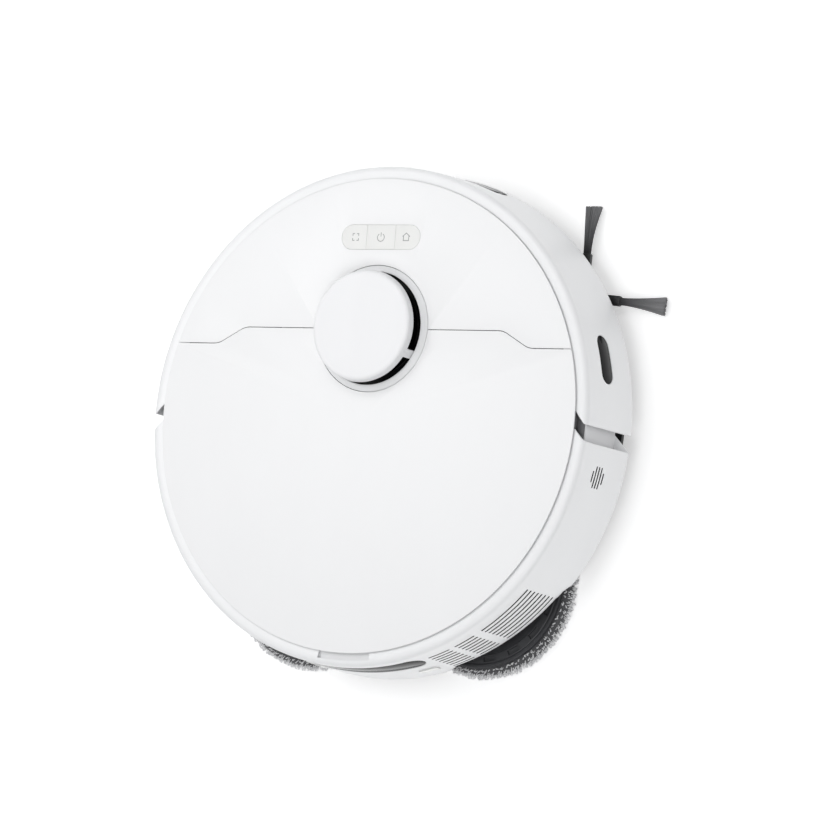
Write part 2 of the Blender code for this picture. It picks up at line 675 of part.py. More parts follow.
def rear_housing():
    housing = turned("rear_housing", shell_profile(), (0, 0, 0), ROBOT, SEGMENTS, part=True)
    ahead = notch_side(HOUSING_END_Y, HOUSING_INNER_Y, HOUSING_CORNER_X, BODY_RADIUS + 25 * MM)
    cut(housing, flat("ahead_of_housing", ahead, 0.0, CAP_TOP_Z, ROBOT))
    join(housing, *tongue(1), *tongue(-1))
    outer, inner = RECESS_RADIUS + WALL * 0.75, FRAME_RADIUS + FRAME_WALL + GAP
    block = arc(outer, -91 - RECESS_ANGLE, -89 + RECESS_ANGLE, 4)
    block += arc(inner, -89 + RECESS_ANGLE, -91 - RECESS_ANGLE, 4)
    floor = RING_Z - RECESS_DEPTH
    join(housing, flat("recess_block", block, floor - WALL, RING_Z - FLANGE / 2, ROBOT))
    recess = arc(RECESS_RADIUS, -90 - RECESS_ANGLE, -90 + RECESS_ANGLE, 4)
    recess += arc(inner + WALL / 2, -90 + RECESS_ANGLE, -90 - RECESS_ANGLE, 4)
    cut(housing, flat("finger_recess", recess, floor, RING_Z + 5 * MM, ROBOT))
    arch_top = HOLDER_TOP_Z + MOP_LIFT + 0.5 * MM
    for side in (-1, 1):
        cut(housing, rod(f"mop_arch_{side}", HOLDER_RADIUS + ARCH_CLEARANCE,
                         (side * MOP_X, MOP_Y, 0.0), arch_top, ROBOT, steps=ROUND))
    cut(housing, window_glass("rear_window", rear_window_outline, -90.0, ROBOT, BLACK))
    cut(housing, *speaker_slots(ROBOT), *vent_slots(ROBOT))
    cut(housing,
        charge_contact("left_charge_contact", CONTACT_ANGLES[0]),
        charge_contact("right_charge_contact", CONTACT_ANGLES[1]))
    finish(housing, WHITE, 0.35)


# ---------------------------------------------------------------- top plates
def plate(name, home):
    """A thin round plate over the ring, low enough for the bumper to slide under it."""
    return rod(name, PLATE_RADIUS, (0.0, 0.0, DECK_Z - PLATE), PLATE, home, steps=SEGMENTS,
               part=True)


def split_outline(shift):
    """Area behind the split line, which steps forward in the middle, moved by half a gap."""
    side, middle = SPLIT_SIDE_Y + shift, SPLIT_MIDDLE_Y + shift
    reach, back = BODY_RADIUS + 5 * MM, -BODY_RADIUS - 5 * MM
    return [(-reach, back), (reach, back), (reach, side), (SPLIT_SIDE_X, side),
            (SPLIT_MIDDLE_X, middle), (-SPLIT_MIDDLE_X, middle), (-SPLIT_SIDE_X, side),
            (-reach, side)]


def top_plates():
    rear = plate("rear_top_cover", ON_COVER)
    front = plate("front_top_panel", ROBOT)
    low, high = DECK_Z - 3 * PLATE, DECK_Z + PLATE
    keep(rear, flat("rear_area", split_outline(-SPLIT_GAP / 2), low, high, ON_COVER))
    cut(front, flat("not_front_area", split_outline(SPLIT_GAP / 2), low, high, ROBOT))
    for sheet, home in ((rear, ON_COVER), (front, ROBOT)):
        cut(sheet, rod(sheet.name + "_turret_hole", TURRET_RADIUS + GAP, (0.0, TURRET_Y, low),
                       high - low, home, steps=ROUND))
    pill = capsule((0.0, PILL_Y), PILL_LENGTH + 2 * GAP, PILL_WIDTH + 2 * GAP)
    cut(front, flat("button_hole", pill, low, high, ROBOT))
    finish(rear, WHITE, 0.4)
    finish(front, WHITE, 0.4)


def buttons():
    splits = (-PILL_LENGTH, -BUTTON_SPLIT_X, BUTTON_SPLIT_X, PILL_LENGTH)
    foot = SWITCH_Z + BUTTON_TRAVEL + RUN
    pill = capsule((0.0, PILL_Y), PILL_LENGTH, PILL_WIDTH)
    for index, name in enumerate(("spot_button", "power_button", "home_button")):
        x = (index - 1) * BUTTON_PITCH
        home = empty(name + "_slide", (x, PILL_Y, DECK_Z), ROBOT)
        button = flat(name, pill, DECK_Z - BUTTON, DECK_Z, home, part=True)
        low = (splits[index] + GAP / 2, PILL_Y - PILL_WIDTH, DECK_Z - 2 * BUTTON)
        high = (splits[index + 1] - GAP / 2, PILL_Y + PILL_WIDTH, DECK_Z + BUTTON)
        keep(button, box(name + "_share", low, high, home))
        join(button, rod(name + "_stem", BUTTON_STEM_RADIUS, (x, PILL_Y, foot),
                         DECK_Z - BUTTON / 2 - foot, home, steps=12))
        finish(button, WHITE, 0.45)


def main_board():
    board = box("main_board", (-BOARD_HALF, BOARD_Y[0], BOARD_Z), (BOARD_HALF, BOARD_Y[1], BOARD_Z + BOARD),
                ROBOT, part=True)
    for index in (-1, 0, 1):
        x = index * BUTTON_PITCH
        join(board, box(f"switch_{index}", (x - SWITCH_HALF, PILL_Y - SWITCH_HALF, BOARD_Z + BOARD / 2),
                        (x + SWITCH_HALF, PILL_Y + SWITCH_HALF, SWITCH_Z), ROBOT))
    low, high = PROCESSOR
    join(board, box("processor", (*low, BOARD_Z + BOARD / 2),
                    (*high, BOARD_Z + BOARD + PROCESSOR_HEIGHT), ROBOT))
    finish(board, GREEN, 0.5)


# ---------------------------------------------------------------- laser turret
def turret():
    centre = (0.0, TURRET_Y)
    foot = TURRET_FOOT_Z
    ring = turned("turret_ring", [
        (TURRET_NECK_RADIUS, SLOT_Z), (TURRET_RADIUS - 1.2 * MM, DECK_Z + 0.9 * MM),
        (TURRET_RADIUS, DECK_Z - 0.4 * MM), (TURRET_RADIUS, foot),
        (CAP_RADIUS + RUN, foot), (CAP_RADIUS + RUN, SLOT_Z)],
        (*centre, 0.0), ROBOT, part=True)
    finish(ring, LIGHT_GREY, 0.45)
    side = CAP_Z + 0.62 * (CAP_TOP_Z - CAP_Z)
    under = CAP_TOP_Z - WALL
    cap = turned("lidar_cap", [
        (0.0, CAP_TOP_Z), (CAP_TOP_RADIUS, CAP_TOP_Z),
        (CAP_TOP_RADIUS + 1.6 * MM, CAP_TOP_Z - 0.7 * MM), (CAP_RADIUS - 0.4 * MM, side),
        (CAP_RADIUS, CAP_Z), (CAP_RADIUS - WALL, CAP_Z),
        (CAP_TOP_RADIUS - 0.6 * MM, under), (0.0, under)],
        (*centre, 0.0), ON_CAP, part=True)
    half = math.degrees(RIB_WIDTH / 2 / CAP_RADIUS)
    for index, bearing in enumerate(RIB_ANGLES):
        outline = arc(CAP_RADIUS - 0.05 * MM, bearing - half, bearing + half, 2, centre)
        outline += arc(CAP_RADIUS - WALL, bearing + half, bearing - half, 2, centre)
        join(cap, flat(f"cap_rib_{index}", outline, SLOT_Z - 3.5 * MM, CAP_Z + 1.2 * MM, ON_CAP))
    finish(cap, LIGHT_GREY, 0.5)

    head_low = LIDAR_PLATE_Z + LIDAR_PLATE + RUN
    head_top = under - CAP_TRAVEL - HEAD_ROOM
    head = turned("lidar_head", [
        (0.0, head_top), (HEAD_RADIUS - 1.5 * MM, head_top), (HEAD_RADIUS, head_top - 1.5 * MM),
        (HEAD_RADIUS, SLOT_Z - 6 * MM), (PULLEY_RADIUS, SLOT_Z - 7.5 * MM),
        (PULLEY_RADIUS, head_low), (0.0, head_low)],
        (*centre, 0.0), ON_HEAD, part=True)
    for index, (x, radius) in enumerate(LENSES):
        cut(head, rod(f"lens_port_{index}", radius, (x, TURRET_Y - HEAD_RADIUS - 4 * MM, LENS_Z),
                      14 * MM, ON_HEAD, "Y", 16))
    finish(head, BLACK, 0.25)


def turret_drive():
    """Bearing plate, motor, pulley and belt under the turret."""
    plate_top = LIDAR_PLATE_Z + LIDAR_PLATE
    base = rod("lidar_base", TURRET_RADIUS, (0.0, TURRET_Y, LIDAR_PLATE_Z), LIDAR_PLATE, ROBOT,
               steps=ROUND, part=True)
    join(base, rod("motor_ear", LIDAR_MOTOR_RADIUS + 6 * MM,
                   (*LIDAR_MOTOR_XY, LIDAR_PLATE_Z + 0.2 * MM), LIDAR_PLATE - 0.4 * MM, ROBOT,
                   steps=24))
    cut(base, rod("pulley_shaft_hole", MOTOR_SHAFT_RADIUS + 0.5 * MM,
                  (*LIDAR_MOTOR_XY, LIDAR_PLATE_Z - 5 * MM), 15 * MM, ROBOT, steps=16))
    post_low = LIDAR_PLATE_Z + LIDAR_PLATE / 2
    for index, bearing in enumerate((20.0, 200.0, 290.0)):
        x, y = polar(TURRET_RADIUS - 5 * MM, bearing, (0.0, TURRET_Y))
        join(base, rod(f"base_post_{index}", 2.6 * MM, (x, y, post_low),
                       TURRET_FOOT_Z - GAP - post_low, ROBOT, steps=10))
    finish(base, DARK, 0.5)

    motor = rod("lidar_motor", LIDAR_MOTOR_RADIUS,
                (*LIDAR_MOTOR_XY, LIDAR_PLATE_Z - GAP - LIDAR_MOTOR_HEIGHT), LIDAR_MOTOR_HEIGHT,
                ROBOT, steps=24, part=True)
    finish(motor, STEEL, 0.35, 1.0)
    pulley_low, pulley_top = LIDAR_PLATE_Z - GAP / 3, BELT_Z + BELT_WIDTH + 1.5 * MM
    pulley = turned("lidar_pulley", [
        (0.0, pulley_top), (MOTOR_PULLEY_RADIUS, pulley_top), (MOTOR_PULLEY_RADIUS, plate_top + RUN),
        (MOTOR_SHAFT_RADIUS, plate_top + RUN), (MOTOR_SHAFT_RADIUS, pulley_low), (0.0, pulley_low)],
        (*LIDAR_MOTOR_XY, 0.0), ON_PULLEY, 24, part=True)
    finish(pulley, WHITE, 0.5)

    inner, outer = belt_outline(GAP), belt_outline(GAP + BELT)
    belt = flat("lidar_belt", outer, BELT_Z, BELT_Z + BELT_WIDTH, ROBOT, part=True)
    cut(belt, flat("belt_inside", inner, BELT_Z - 2 * MM, BELT_Z + BELT_WIDTH + 2 * MM, ROBOT))
    finish(belt, BLACK, 0.8)


def belt_outline(grow):
    """Loop around the two pulleys: two arcs joined by their outer tangents."""
    big, small = PULLEY_RADIUS + grow, MOTOR_PULLEY_RADIUS + grow
    dx, dy = LIDAR_MOTOR_XY[0], LIDAR_MOTOR_XY[1] - TURRET_Y
    bearing = math.degrees(math.atan2(dy, dx))
    spread = math.degrees(math.acos((big - small) / math.hypot(dx, dy)))
    loop = arc(big, bearing + spread, bearing + 360 - spread, 20, (0.0, TURRET_Y))
    loop += arc(small, bearing - spread, bearing + spread, 5, LIDAR_MOTOR_XY)
    return loop


# ---------------------------------------------------------------- chassis and frame
def chassis_base():
    base = rod("chassis_base", CHASSIS_RADIUS, (0, 0, UNDERSIDE_Z), CHASSIS, ROBOT,
               steps=SEGMENTS, part=True)
    mop_bays(base)
    keep(base, rod("chassis_edge", CHASSIS_RADIUS - 0.1 * MM, (0, 0, 0), CAP_TOP_Z, ROBOT,
                   steps=SEGMENTS))
    high = CHASSIS_TOP_Z + MM
    cut(base, box("brush_opening", (-GUARD_HALF, BRUSH_Y - GUARD_DEPTH, 0),
                  (GUARD_HALF, BRUSH_Y + GUARD_DEPTH, high), ROBOT))
    for side in (-1, 1):
        inner, outer = ARM_X - ARM_WIDTH / 2 - 1.5 * MM, WHEEL_X + TYRE_WIDTH / 2 + 3 * MM
        low_x, high_x = sorted((side * inner, side * outer))
        cut(base, box(f"wheel_well_{side}", (low_x, WHEEL_Y - WHEEL_RADIUS - 4 * MM, 0),
                      (high_x, PIVOT_Y - 3.5 * MM, high), ROBOT))
        ear = ARM_X + ARM_WIDTH / 2 + EAR_GAP
        low_x, high_x = sorted((side * ear, side * (ear + EAR)))
        join(base, box(f"pivot_ear_{side}", (low_x, PIVOT_Y - EAR, UNDERSIDE_Z + MM),
                       (high_x, PIVOT_Y + 4.5 * MM, PIVOT_Z + 5.5 * MM), ROBOT))
        cut(base, rod(f"pivot_bore_{side}", PIN_RADIUS + RUN, (low_x - MM, PIVOT_Y, PIVOT_Z),
                      EAR + 2 * MM, ROBOT, "X", 16))
    cut(base,
        rod("caster_hole", CASTER_ROOM, (0, CASTER_Y, 0), high, ROBOT, steps=20),
        rod("side_brush_hole", SIDE_BRUSH_STEM_RADIUS + RUN, (*SIDE_BRUSH_XY, 0), high, ROBOT,
            steps=16))
    width, depth, height = CLIFF_SIZE
    for index, bearing in enumerate(CLIFF_BEARINGS):
        x, y = polar(CHASSIS_RADIUS - CLIFF_INSET, bearing)
        cut(base, box(f"cliff_recess_{index}", (x - width / 2, y - depth / 2, 0),
                      (x + width / 2, y + depth / 2, UNDERSIDE_Z + height), ROBOT))
    finish(base, DARK, 0.55)


def mop_bays(base):
    """Round rooms over the mops, with a hole in each roof for the shaft."""
    bay, roof = MOP_BAY_RADIUS, MOP_BAY_Z + WALL
    for side in (-1, 1):
        cut(base, rod(f"mop_cut_{side}", bay + WALL / 2, (side * MOP_X, MOP_Y, UNDERSIDE_Z - MM),
                      CHASSIS + 2 * MM, ROBOT, steps=ROUND))
    for side in (-1, 1):
        join(base, turned(f"mop_bay_{side}", [
            (bay + WALL, roof), (bay + WALL, UNDERSIDE_Z), (bay, UNDERSIDE_Z), (bay, MOP_BAY_Z),
            (MOP_SHAFT_HOLE, MOP_BAY_Z), (MOP_SHAFT_HOLE, roof)],
            (side * MOP_X, MOP_Y, 0.0), ROBOT))
    for side in (-1, 1):
        cut(base, rod(f"mop_room_{side}", bay - 0.05 * MM, (side * MOP_X, MOP_Y, UNDERSIDE_Z - MM),
                      MOP_BAY_Z - UNDERSIDE_Z + MM - 0.02 * MM, ROBOT, steps=ROUND))


def mid_frame():
    foot = CHASSIS_TOP_Z + GAP
    frame = turned("mid_frame", [
        (FRAME_RADIUS + FRAME_WALL, FRAME_Z), (FRAME_RADIUS + FRAME_WALL, foot),
        (FRAME_RADIUS, foot), (FRAME_RADIUS, FRAME_Z)], (0, 0, 0), ROBOT, SEGMENTS, part=True)
    for side in (-1, 1):
        cut(frame, rod(f"over_mop_bay_{side}", MOP_BAY_RADIUS + WALL + GAP,
                       (side * MOP_X, MOP_Y, 0), MOP_BAY_Z + WALL + GAP, ROBOT, steps=ROUND))
    cut(frame, rod("side_motor_room", SIDE_MOTOR_RADIUS + RUN, (*SIDE_BRUSH_XY, 0),
                   CHASSIS_TOP_Z + SIDE_MOTOR_HEIGHT + MM, ROBOT, steps=24))
    sound = arc(SPEAKER_RADIUS - WALL, 0, 330, 11, (0.0, SPEAKER_Z))
    cut(frame, wall_plug("sound_window", sound, SPEAKER_ANGLE, ROBOT,
                         FRAME_RADIUS - 6 * MM, FRAME_RADIUS + 8 * MM))
    exhaust = rounded((-EXHAUST_HALF, EXHAUST_Z[0]), (EXHAUST_HALF, EXHAUST_Z[1]), 3 * MM, 2)
    cut(frame, wall_plug("exhaust_window", exhaust, EXHAUST_ANGLE, ROBOT,
                         FRAME_RADIUS - 10 * MM, FRAME_RADIUS + 8 * MM))
    finish(frame, MID_GREY, 0.5)


def inner_deck():
    edge = FRAME_RADIUS - 0.5 * MM
    deck = rod("inner_deck", edge, (0, 0, INNER_DECK_Z), INNER_DECK, ROBOT, steps=SEGMENTS, part=True)
    low, high = INNER_DECK_Z - MM, INNER_DECK_Z + INNER_DECK + MM
    left, right, rear, front = BIN
    cut(deck,
        box("deck_front", (-0.2, SPLIT_SIDE_Y - 3 * MM, low), (0.2, 0.2, high), ROBOT),
        rod("deck_turret", TURRET_RADIUS + 3 * MM, (0, TURRET_Y, low), high - low, ROBOT, steps=ROUND),
        box("deck_bin", (left - MM, rear - MM, low), (right + MM, front + MM, high), ROBOT))
    finish(deck, LIGHT_GREY, 0.5)


# ---------------------------------------------------------------- suction head
def brush_section(turn):
    """Outline of core and fins, in the plane across the brush."""
    points = []
    for fin in range(BRUSH_FINS):
        middle = 360.0 / BRUSH_FINS * fin + math.degrees(turn)
        for radius, offset in ((BRUSH_CORE_RADIUS, -13.0), (BRUSH_RADIUS, -3.0),
                               (BRUSH_RADIUS, 3.0), (BRUSH_CORE_RADIUS, 13.0)):
            points.append(polar(radius, middle + offset))
    return points


def main_brush():
    """Core with V-shaped fins, a loft of turned sections, with a stub at each end."""
    stations = 8

    def build(shape):
        rings = []
        for i in range(stations + 1):
            along = -BRUSH_HALF + 2 * BRUSH_HALF * i / stations
            turn = BRUSH_SWEEP * (1 - abs(along) / BRUSH_HALF)
            rings.append([shape.verts.new((along, a, b)) for a, b in brush_section(turn)])
        count = len(rings[0])
        for ring, after in zip(rings, rings[1:]):
            for i in range(count):
                j = (i + 1) % count
                shape.faces.new((ring[i], ring[j], after[j], after[i]))
        shape.faces.new(list(reversed(rings[0])))
        shape.faces.new(rings[-1])
        bmesh.ops.triangulate(shape, faces=shape.faces)
        bmesh.ops.recalc_face_normals(shape, faces=shape.faces)

    brush = add("main_brush", mesh_from(build), (0.0, BRUSH_Y, BRUSH_Z), ON_BRUSH, True)
    reach = BRUSH_HALF + HOUSING_WALL * 0.9 + MM
    join(brush, rod("brush_stubs", BRUSH_STUB_RADIUS, (-reach, BRUSH_Y, BRUSH_Z), 2 * reach,
                    ON_BRUSH, "X", 16))
    finish(brush, RUBBER_GREY, 0.7)


def suction_head():
    room, half, wall = BRUSH_ROOM, BRUSH_HALF + MM, HOUSING_WALL
    low = (-half - wall, BRUSH_Y - room - wall, CHASSIS_TOP_Z + GAP)
    high = (half + wall, BRUSH_Y + room + wall, HOUSING_TOP_Z)
    housing = box("brush_housing", low, high, ROBOT, part=True)
    duct_rear = BIN[3] + 0.5 * MM
    join(housing, box("duct", (-INLET_HALF - DUCT_WALL, duct_rear, INLET_Z - DUCT_WALL),
                      (INLET_HALF + DUCT_WALL, BRUSH_Y - room, INLET_Z + INLET_HEIGHT + 0.9 * MM),
                      ROBOT))
    cut(housing,
        rod("brush_tunnel", room, (-half, BRUSH_Y, BRUSH_Z), 2 * half, ROBOT, "X", 32),
        box("brush_mouth", (-half, BRUSH_Y - room, 0), (half, BRUSH_Y + room, BRUSH_Z), ROBOT),
        box("duct_inside", (-INLET_HALF, duct_rear - 5 * MM, INLET_Z),
            (INLET_HALF, BRUSH_Y - 6 * MM, INLET_Z + INLET_HEIGHT - 2 * MM), ROBOT),
        rod("brush_bores", BRUSH_STUB_RADIUS + RUN, (-half - wall - MM, BRUSH_Y, BRUSH_Z),
            2 * (half + wall + MM), ROBOT, "X", 16))
    finish(housing, DARK, 0.5)

    edge, depth = GUARD_HALF - RUN, GUARD_DEPTH - RUN
    guard = box("brush_guard", (-edge, BRUSH_Y - depth, UNDERSIDE_Z),
                (edge, BRUSH_Y + depth, CHASSIS_TOP_Z), ROBOT, part=True)
    cut(guard, box("guard_opening", (-half, BRUSH_Y - room, 0), (half, BRUSH_Y + room, CAP_TOP_Z),
                   ROBOT))
    finish(guard, MID_GREY, 0.5)

    (x0, y0), (x1, y1) = BRUSH_MOTOR
    floor = HOUSING_TOP_Z + GAP
    motor = box("brush_motor", (x0, BRUSH_Y + y0, floor),
                (x1, BRUSH_Y + y1, floor + BRUSH_MOTOR_HEIGHT), ROBOT, part=True)
    finish(motor, STEEL, 0.4, 1.0)


# ---------------------------------------------------------------- side brush
def arm_piece(name, outline, bearing, low, high):
    """A flat piece along one arm of the side brush. Its outline starts at the hub's axis."""
    piece = flat(name, outline, low, high, ON_SIDE_BRUSH)
    piece.location += Vector((*SIDE_BRUSH_XY, 0.0))
    piece.rotation_euler = (0.0, 0.0, math.radians(bearing))
    return piece


def side_brush():
    hub_high = UNDERSIDE_Z - RUN
    stem, hub, clip = SIDE_BRUSH_STEM_RADIUS, SIDE_BRUSH_HUB_RADIUS, SIDE_BRUSH_CLIP
    brush = turned("side_brush", [
        (0.0, CHASSIS_TOP_Z), (stem, CHASSIS_TOP_Z), (stem, hub_high), (hub, hub_high),
        (hub, SIDE_BRUSH_HUB_Z + MM), (hub - 2 * MM, SIDE_BRUSH_HUB_Z), (0.0, SIDE_BRUSH_HUB_Z)],
        (*SIDE_BRUSH_XY, 0.0), ON_SIDE_BRUSH, 24, part=True)
    half = SIDE_BRUSH_CLIP_HALF
    holder = [(stem, -half), (clip, -half), (clip, half), (stem, half)]
    bristles = rod("side_brush_bristles", hub - 2 * MM, (*SIDE_BRUSH_XY, BRISTLES_Z[0]),
                   BRISTLES_Z[1] - BRISTLES_Z[0], ON_SIDE_BRUSH, steps=16, part=True)
    middle = (clip + SIDE_BRUSH_REACH) / 2
    tuft = [(0.0, -2.2 * MM), (clip, -2.2 * MM), (middle, -3.4 * MM),
            (SIDE_BRUSH_REACH, -SIDE_BRUSH_FLARE), (SIDE_BRUSH_REACH, SIDE_BRUSH_FLARE),
            (middle, 3.4 * MM), (clip, 2.2 * MM), (0.0, 2.2 * MM)]
    inset = 0.1 * MM
    for index, bearing in enumerate(SIDE_BRUSH_ARMS):
        join(brush, arm_piece(f"clip_{index}", holder, bearing, *SIDE_BRUSH_CLIP_Z))
        join(bristles, arm_piece(f"tuft_{index}", tuft, bearing, BRISTLES_Z[0] + inset,
                                 BRISTLES_Z[1] - inset))
    finish(brush, DARK, 0.6)
    finish(bristles, RUBBER_GREY, 0.8)
    motor = rod("side_brush_motor", SIDE_MOTOR_RADIUS, (*SIDE_BRUSH_XY, CHASSIS_TOP_Z + RUN),
                SIDE_MOTOR_HEIGHT, ROBOT, steps=24, part=True)
    finish(motor, STEEL, 0.4, 1.0)


# ---------------------------------------------------------------- drive wheels
def drive_wheel(name, side):
    pivot = empty(name + "_wheel_pivot", (side * ARM_X, PIVOT_Y, PIVOT_Z), ROBOT)
    axle = empty(name + "_wheel_axle", (side * WHEEL_X, WHEEL_Y, WHEEL_RADIUS), pivot)
    inner, outer = ARM_X - ARM_WIDTH / 2, ARM_X + ARM_WIDTH / 2

    run_y, run_z = WHEEL_Y - PIVOT_Y, WHEEL_RADIUS - PIVOT_Z
    bearing = math.degrees(math.atan2(run_z, run_y))
    lean = math.degrees(math.asin((ARM_RADIUS - PIVOT_RADIUS) / math.hypot(run_y, run_z)))
    outline = arc(PIVOT_RADIUS, bearing + 90 + lean, bearing + 270 - lean, 8)
    outline += arc(ARM_RADIUS, bearing - 90 - lean, bearing + 90 + lean, 8, (run_y, run_z))
    arm = flat(name + "_wheel_arm", outline, -ARM_WIDTH / 2, ARM_WIDTH / 2, pivot, part=True)
    arm.location = (0.0, 0.0, 0.0)
    arm.rotation_euler = (math.pi / 2, 0.0, math.pi / 2)
    pin_start = inner if side > 0 else -outer - PIN_REACH
    join(arm, rod(name + "_pivot_pin", PIN_RADIUS, (pin_start, PIVOT_Y, PIVOT_Z),
                  ARM_WIDTH + PIN_REACH, pivot, "X", 16))
    bore_start = outer - AXLE_DEPTH if side > 0 else -outer - MM
    cut(arm, rod(name + "_axle_bore", AXLE_RADIUS + RUN, (bore_start, WHEEL_Y, WHEEL_RADIUS),
                 AXLE_DEPTH + MM, pivot, "X", 20))
    finish(arm, DARK, 0.5)

    rim = WHEEL_RADIUS - TYRE
    half = TYRE_WIDTH / 2
    tyre = turned(name + "_tyre", [
        (WHEEL_RADIUS - MM, half), (WHEEL_RADIUS, half - 2 * MM), (WHEEL_RADIUS, -half + 2 * MM),
        (WHEEL_RADIUS - MM, -half), (rim, -half), (rim, half)],
        (side * WHEEL_X, WHEEL_Y, WHEEL_RADIUS), axle, ROUND, "X", part=True)
    finish(tyre, BLACK, 0.85)
    face = half - 2 * MM
    stub = WHEEL_X - outer + AXLE_DEPTH - MM
    profile = [(0.0, face), (9 * MM, face), (12 * MM, face - 3 * MM), (rim - 5 * MM, face - 3 * MM),
               (rim - GAP, face), (rim - GAP, -face), (AXLE_RADIUS, -face),
               (AXLE_RADIUS, -stub), (0.0, -stub)]
    hub = turned(name + "_wheel_hub", profile, (side * WHEEL_X, WHEEL_Y, WHEEL_RADIUS), axle,
                 ROUND, "X", part=True)
    if side < 0:
        hub.rotation_euler = (0.0, -math.pi / 2, 0.0)
    finish(hub, MID_GREY, 0.5)

    low = WHEEL_RADIUS + ARM_RADIUS + GAP + WHEEL_SPRING_WIRE
    high = INNER_DECK_Z - GAP - WHEEL_SPRING_WIRE
    helix = coil((side * ARM_X, WHEEL_Y), WHEEL_SPRING_RADIUS, 4.5, low, high, "Z")
    spring = wire(name + "_wheel_spring", helix, WHEEL_SPRING_WIRE, ROBOT, part=True)
    finish(spring, STEEL, 0.3, 1.0)


# ---------------------------------------------------------------- caster
def caster():
    room, stem = CASTER_ROOM, CASTER_STEM_RADIUS
    foot = CHASSIS_TOP_Z + GAP
    ceiling = CASTER_SOCKET_Z - 3 * MM
    socket = turned("caster_socket", [
        (stem + RUN, CASTER_SOCKET_Z), (room - 3 * MM, CASTER_SOCKET_Z),
        (room + WALL, CASTER_SOCKET_Z - 5 * MM), (room + WALL, foot), (room, foot),
        (room, ceiling - 4 * MM), (room - 4 * MM, ceiling), (stem + RUN, ceiling)],
        (0.0, CASTER_Y, 0.0), ROBOT, 20, part=True)
    finish(socket, DARK, 0.5)

    half = CASTER_WIDTH / 2 + 1.2 * MM
    axle_y = CASTER_Y - CASTER_TRAIL
    crown_low, crown_high = ceiling - 4.2 * MM, ceiling - 0.8 * MM
    fork = rod("caster_fork", half + CASTER_LEG + 1.5 * MM, (0.0, CASTER_Y, crown_low),
               crown_high - crown_low, ON_SWIVEL, steps=20, part=True)
    join(fork, rod("caster_stem", stem, (0.0, CASTER_Y, crown_low + MM),
                   CASTER_SOCKET_Z - crown_low - MM, ON_SWIVEL, steps=16))
    for side in (-1, 1):
        low, high = sorted((side * half, side * (half + CASTER_LEG)))
        join(fork, box(f"caster_leg_{side}", (low, axle_y - 4 * MM, CASTER_RADIUS - 4 * MM),
                       (high, CASTER_Y + 3 * MM, crown_low + 1.5 * MM), ON_SWIVEL))
        cut(fork, rod(f"caster_bore_{side}", CASTER_AXLE_RADIUS + GAP,
                      (low - MM, axle_y, CASTER_RADIUS), CASTER_LEG + 2 * MM, ON_SWIVEL, "X", 12))
    finish(fork, DARK, 0.5)

    rim, edge, axle = CASTER_RADIUS, CASTER_WIDTH / 2, CASTER_AXLE_RADIUS
    stub = half + CASTER_LEG - GAP
    wheel = turned("caster_wheel", [
        (0.0, stub), (axle, stub), (axle, edge), (rim - 2 * MM, edge), (rim, edge - 2 * MM),
        (rim, -edge + 2 * MM), (rim - 2 * MM, -edge), (axle, -edge), (axle, -stub), (0.0, -stub)],
        (0.0, axle_y, CASTER_RADIUS), ON_CASTER, 20, "X", part=True)
    finish(wheel, WHITE, 0.5)


# ---------------------------------------------------------------- mops
def mops():
    half_x, half_y = GEARBOX_HALF
    gearbox_top = GEARBOX_Z + GEARBOX
    gearbox = box("mop_carriage", (-half_x, MOP_Y - half_y, GEARBOX_Z),
                  (half_x, MOP_Y + half_y, gearbox_top), ON_CARRIAGE, part=True)
    hub, rim = MOP_HUB_RADIUS, HOLDER_RADIUS
    hub_top = HOLDER_TOP_Z + MOP_HUB
    for side, name in ((-1, "left"), (1, "right")):
        centre = (side * MOP_X, MOP_Y)
        cut(gearbox, rod(f"{name}_shaft_bore", MOP_SHAFT_RADIUS + RUN, (*centre, GEARBOX_Z - MM),
                         GEARBOX - 2 * MM, ON_CARRIAGE))
        home = empty(name + "_mop_axis", (*centre, PAD), ON_CARRIAGE)
        shaft = rod(name + "_mop_shaft", MOP_SHAFT_RADIUS, (*centre, hub_top + GAP),
                    gearbox_top - 4 * MM - hub_top - GAP, home, part=True)
        finish(shaft, STEEL, 0.35, 1.0)
        low = PAD + GAP
        holder = turned(name + "_mop_holder", [
            (0.0, hub_top), (hub - 2 * MM, hub_top), (hub, HOLDER_TOP_Z - 0.8 * MM),
            (rim - 3 * MM, HOLDER_TOP_Z - 0.8 * MM), (rim - 2.2 * MM, HOLDER_TOP_Z),
            (rim, HOLDER_TOP_Z), (rim, low), (0.0, low)], (*centre, 0.0), home, part=True)
        finish(holder, MID_GREY, 0.5)
        pad = turned(name + "_mop_pad", [
            (0.0, PAD), (PAD_RADIUS - 3 * MM, PAD), (PAD_RADIUS, PAD - 3 * MM),
            (PAD_RADIUS, 2.5 * MM), (PAD_RADIUS - 2.5 * MM, 0.0), (0.0, 0.0)],
            (*centre, 0.0), home, part=True)
        finish(pad, FIBRE, 0.95)
    finish(gearbox, DARK, 0.5)
    motor = rod("mop_motor", MOP_MOTOR_RADIUS, (0.0, MOP_Y, gearbox_top + GAP), MOP_MOTOR_HEIGHT,
                ON_CARRIAGE, steps=24, part=True)
    finish(motor, STEEL, 0.35, 1.0)


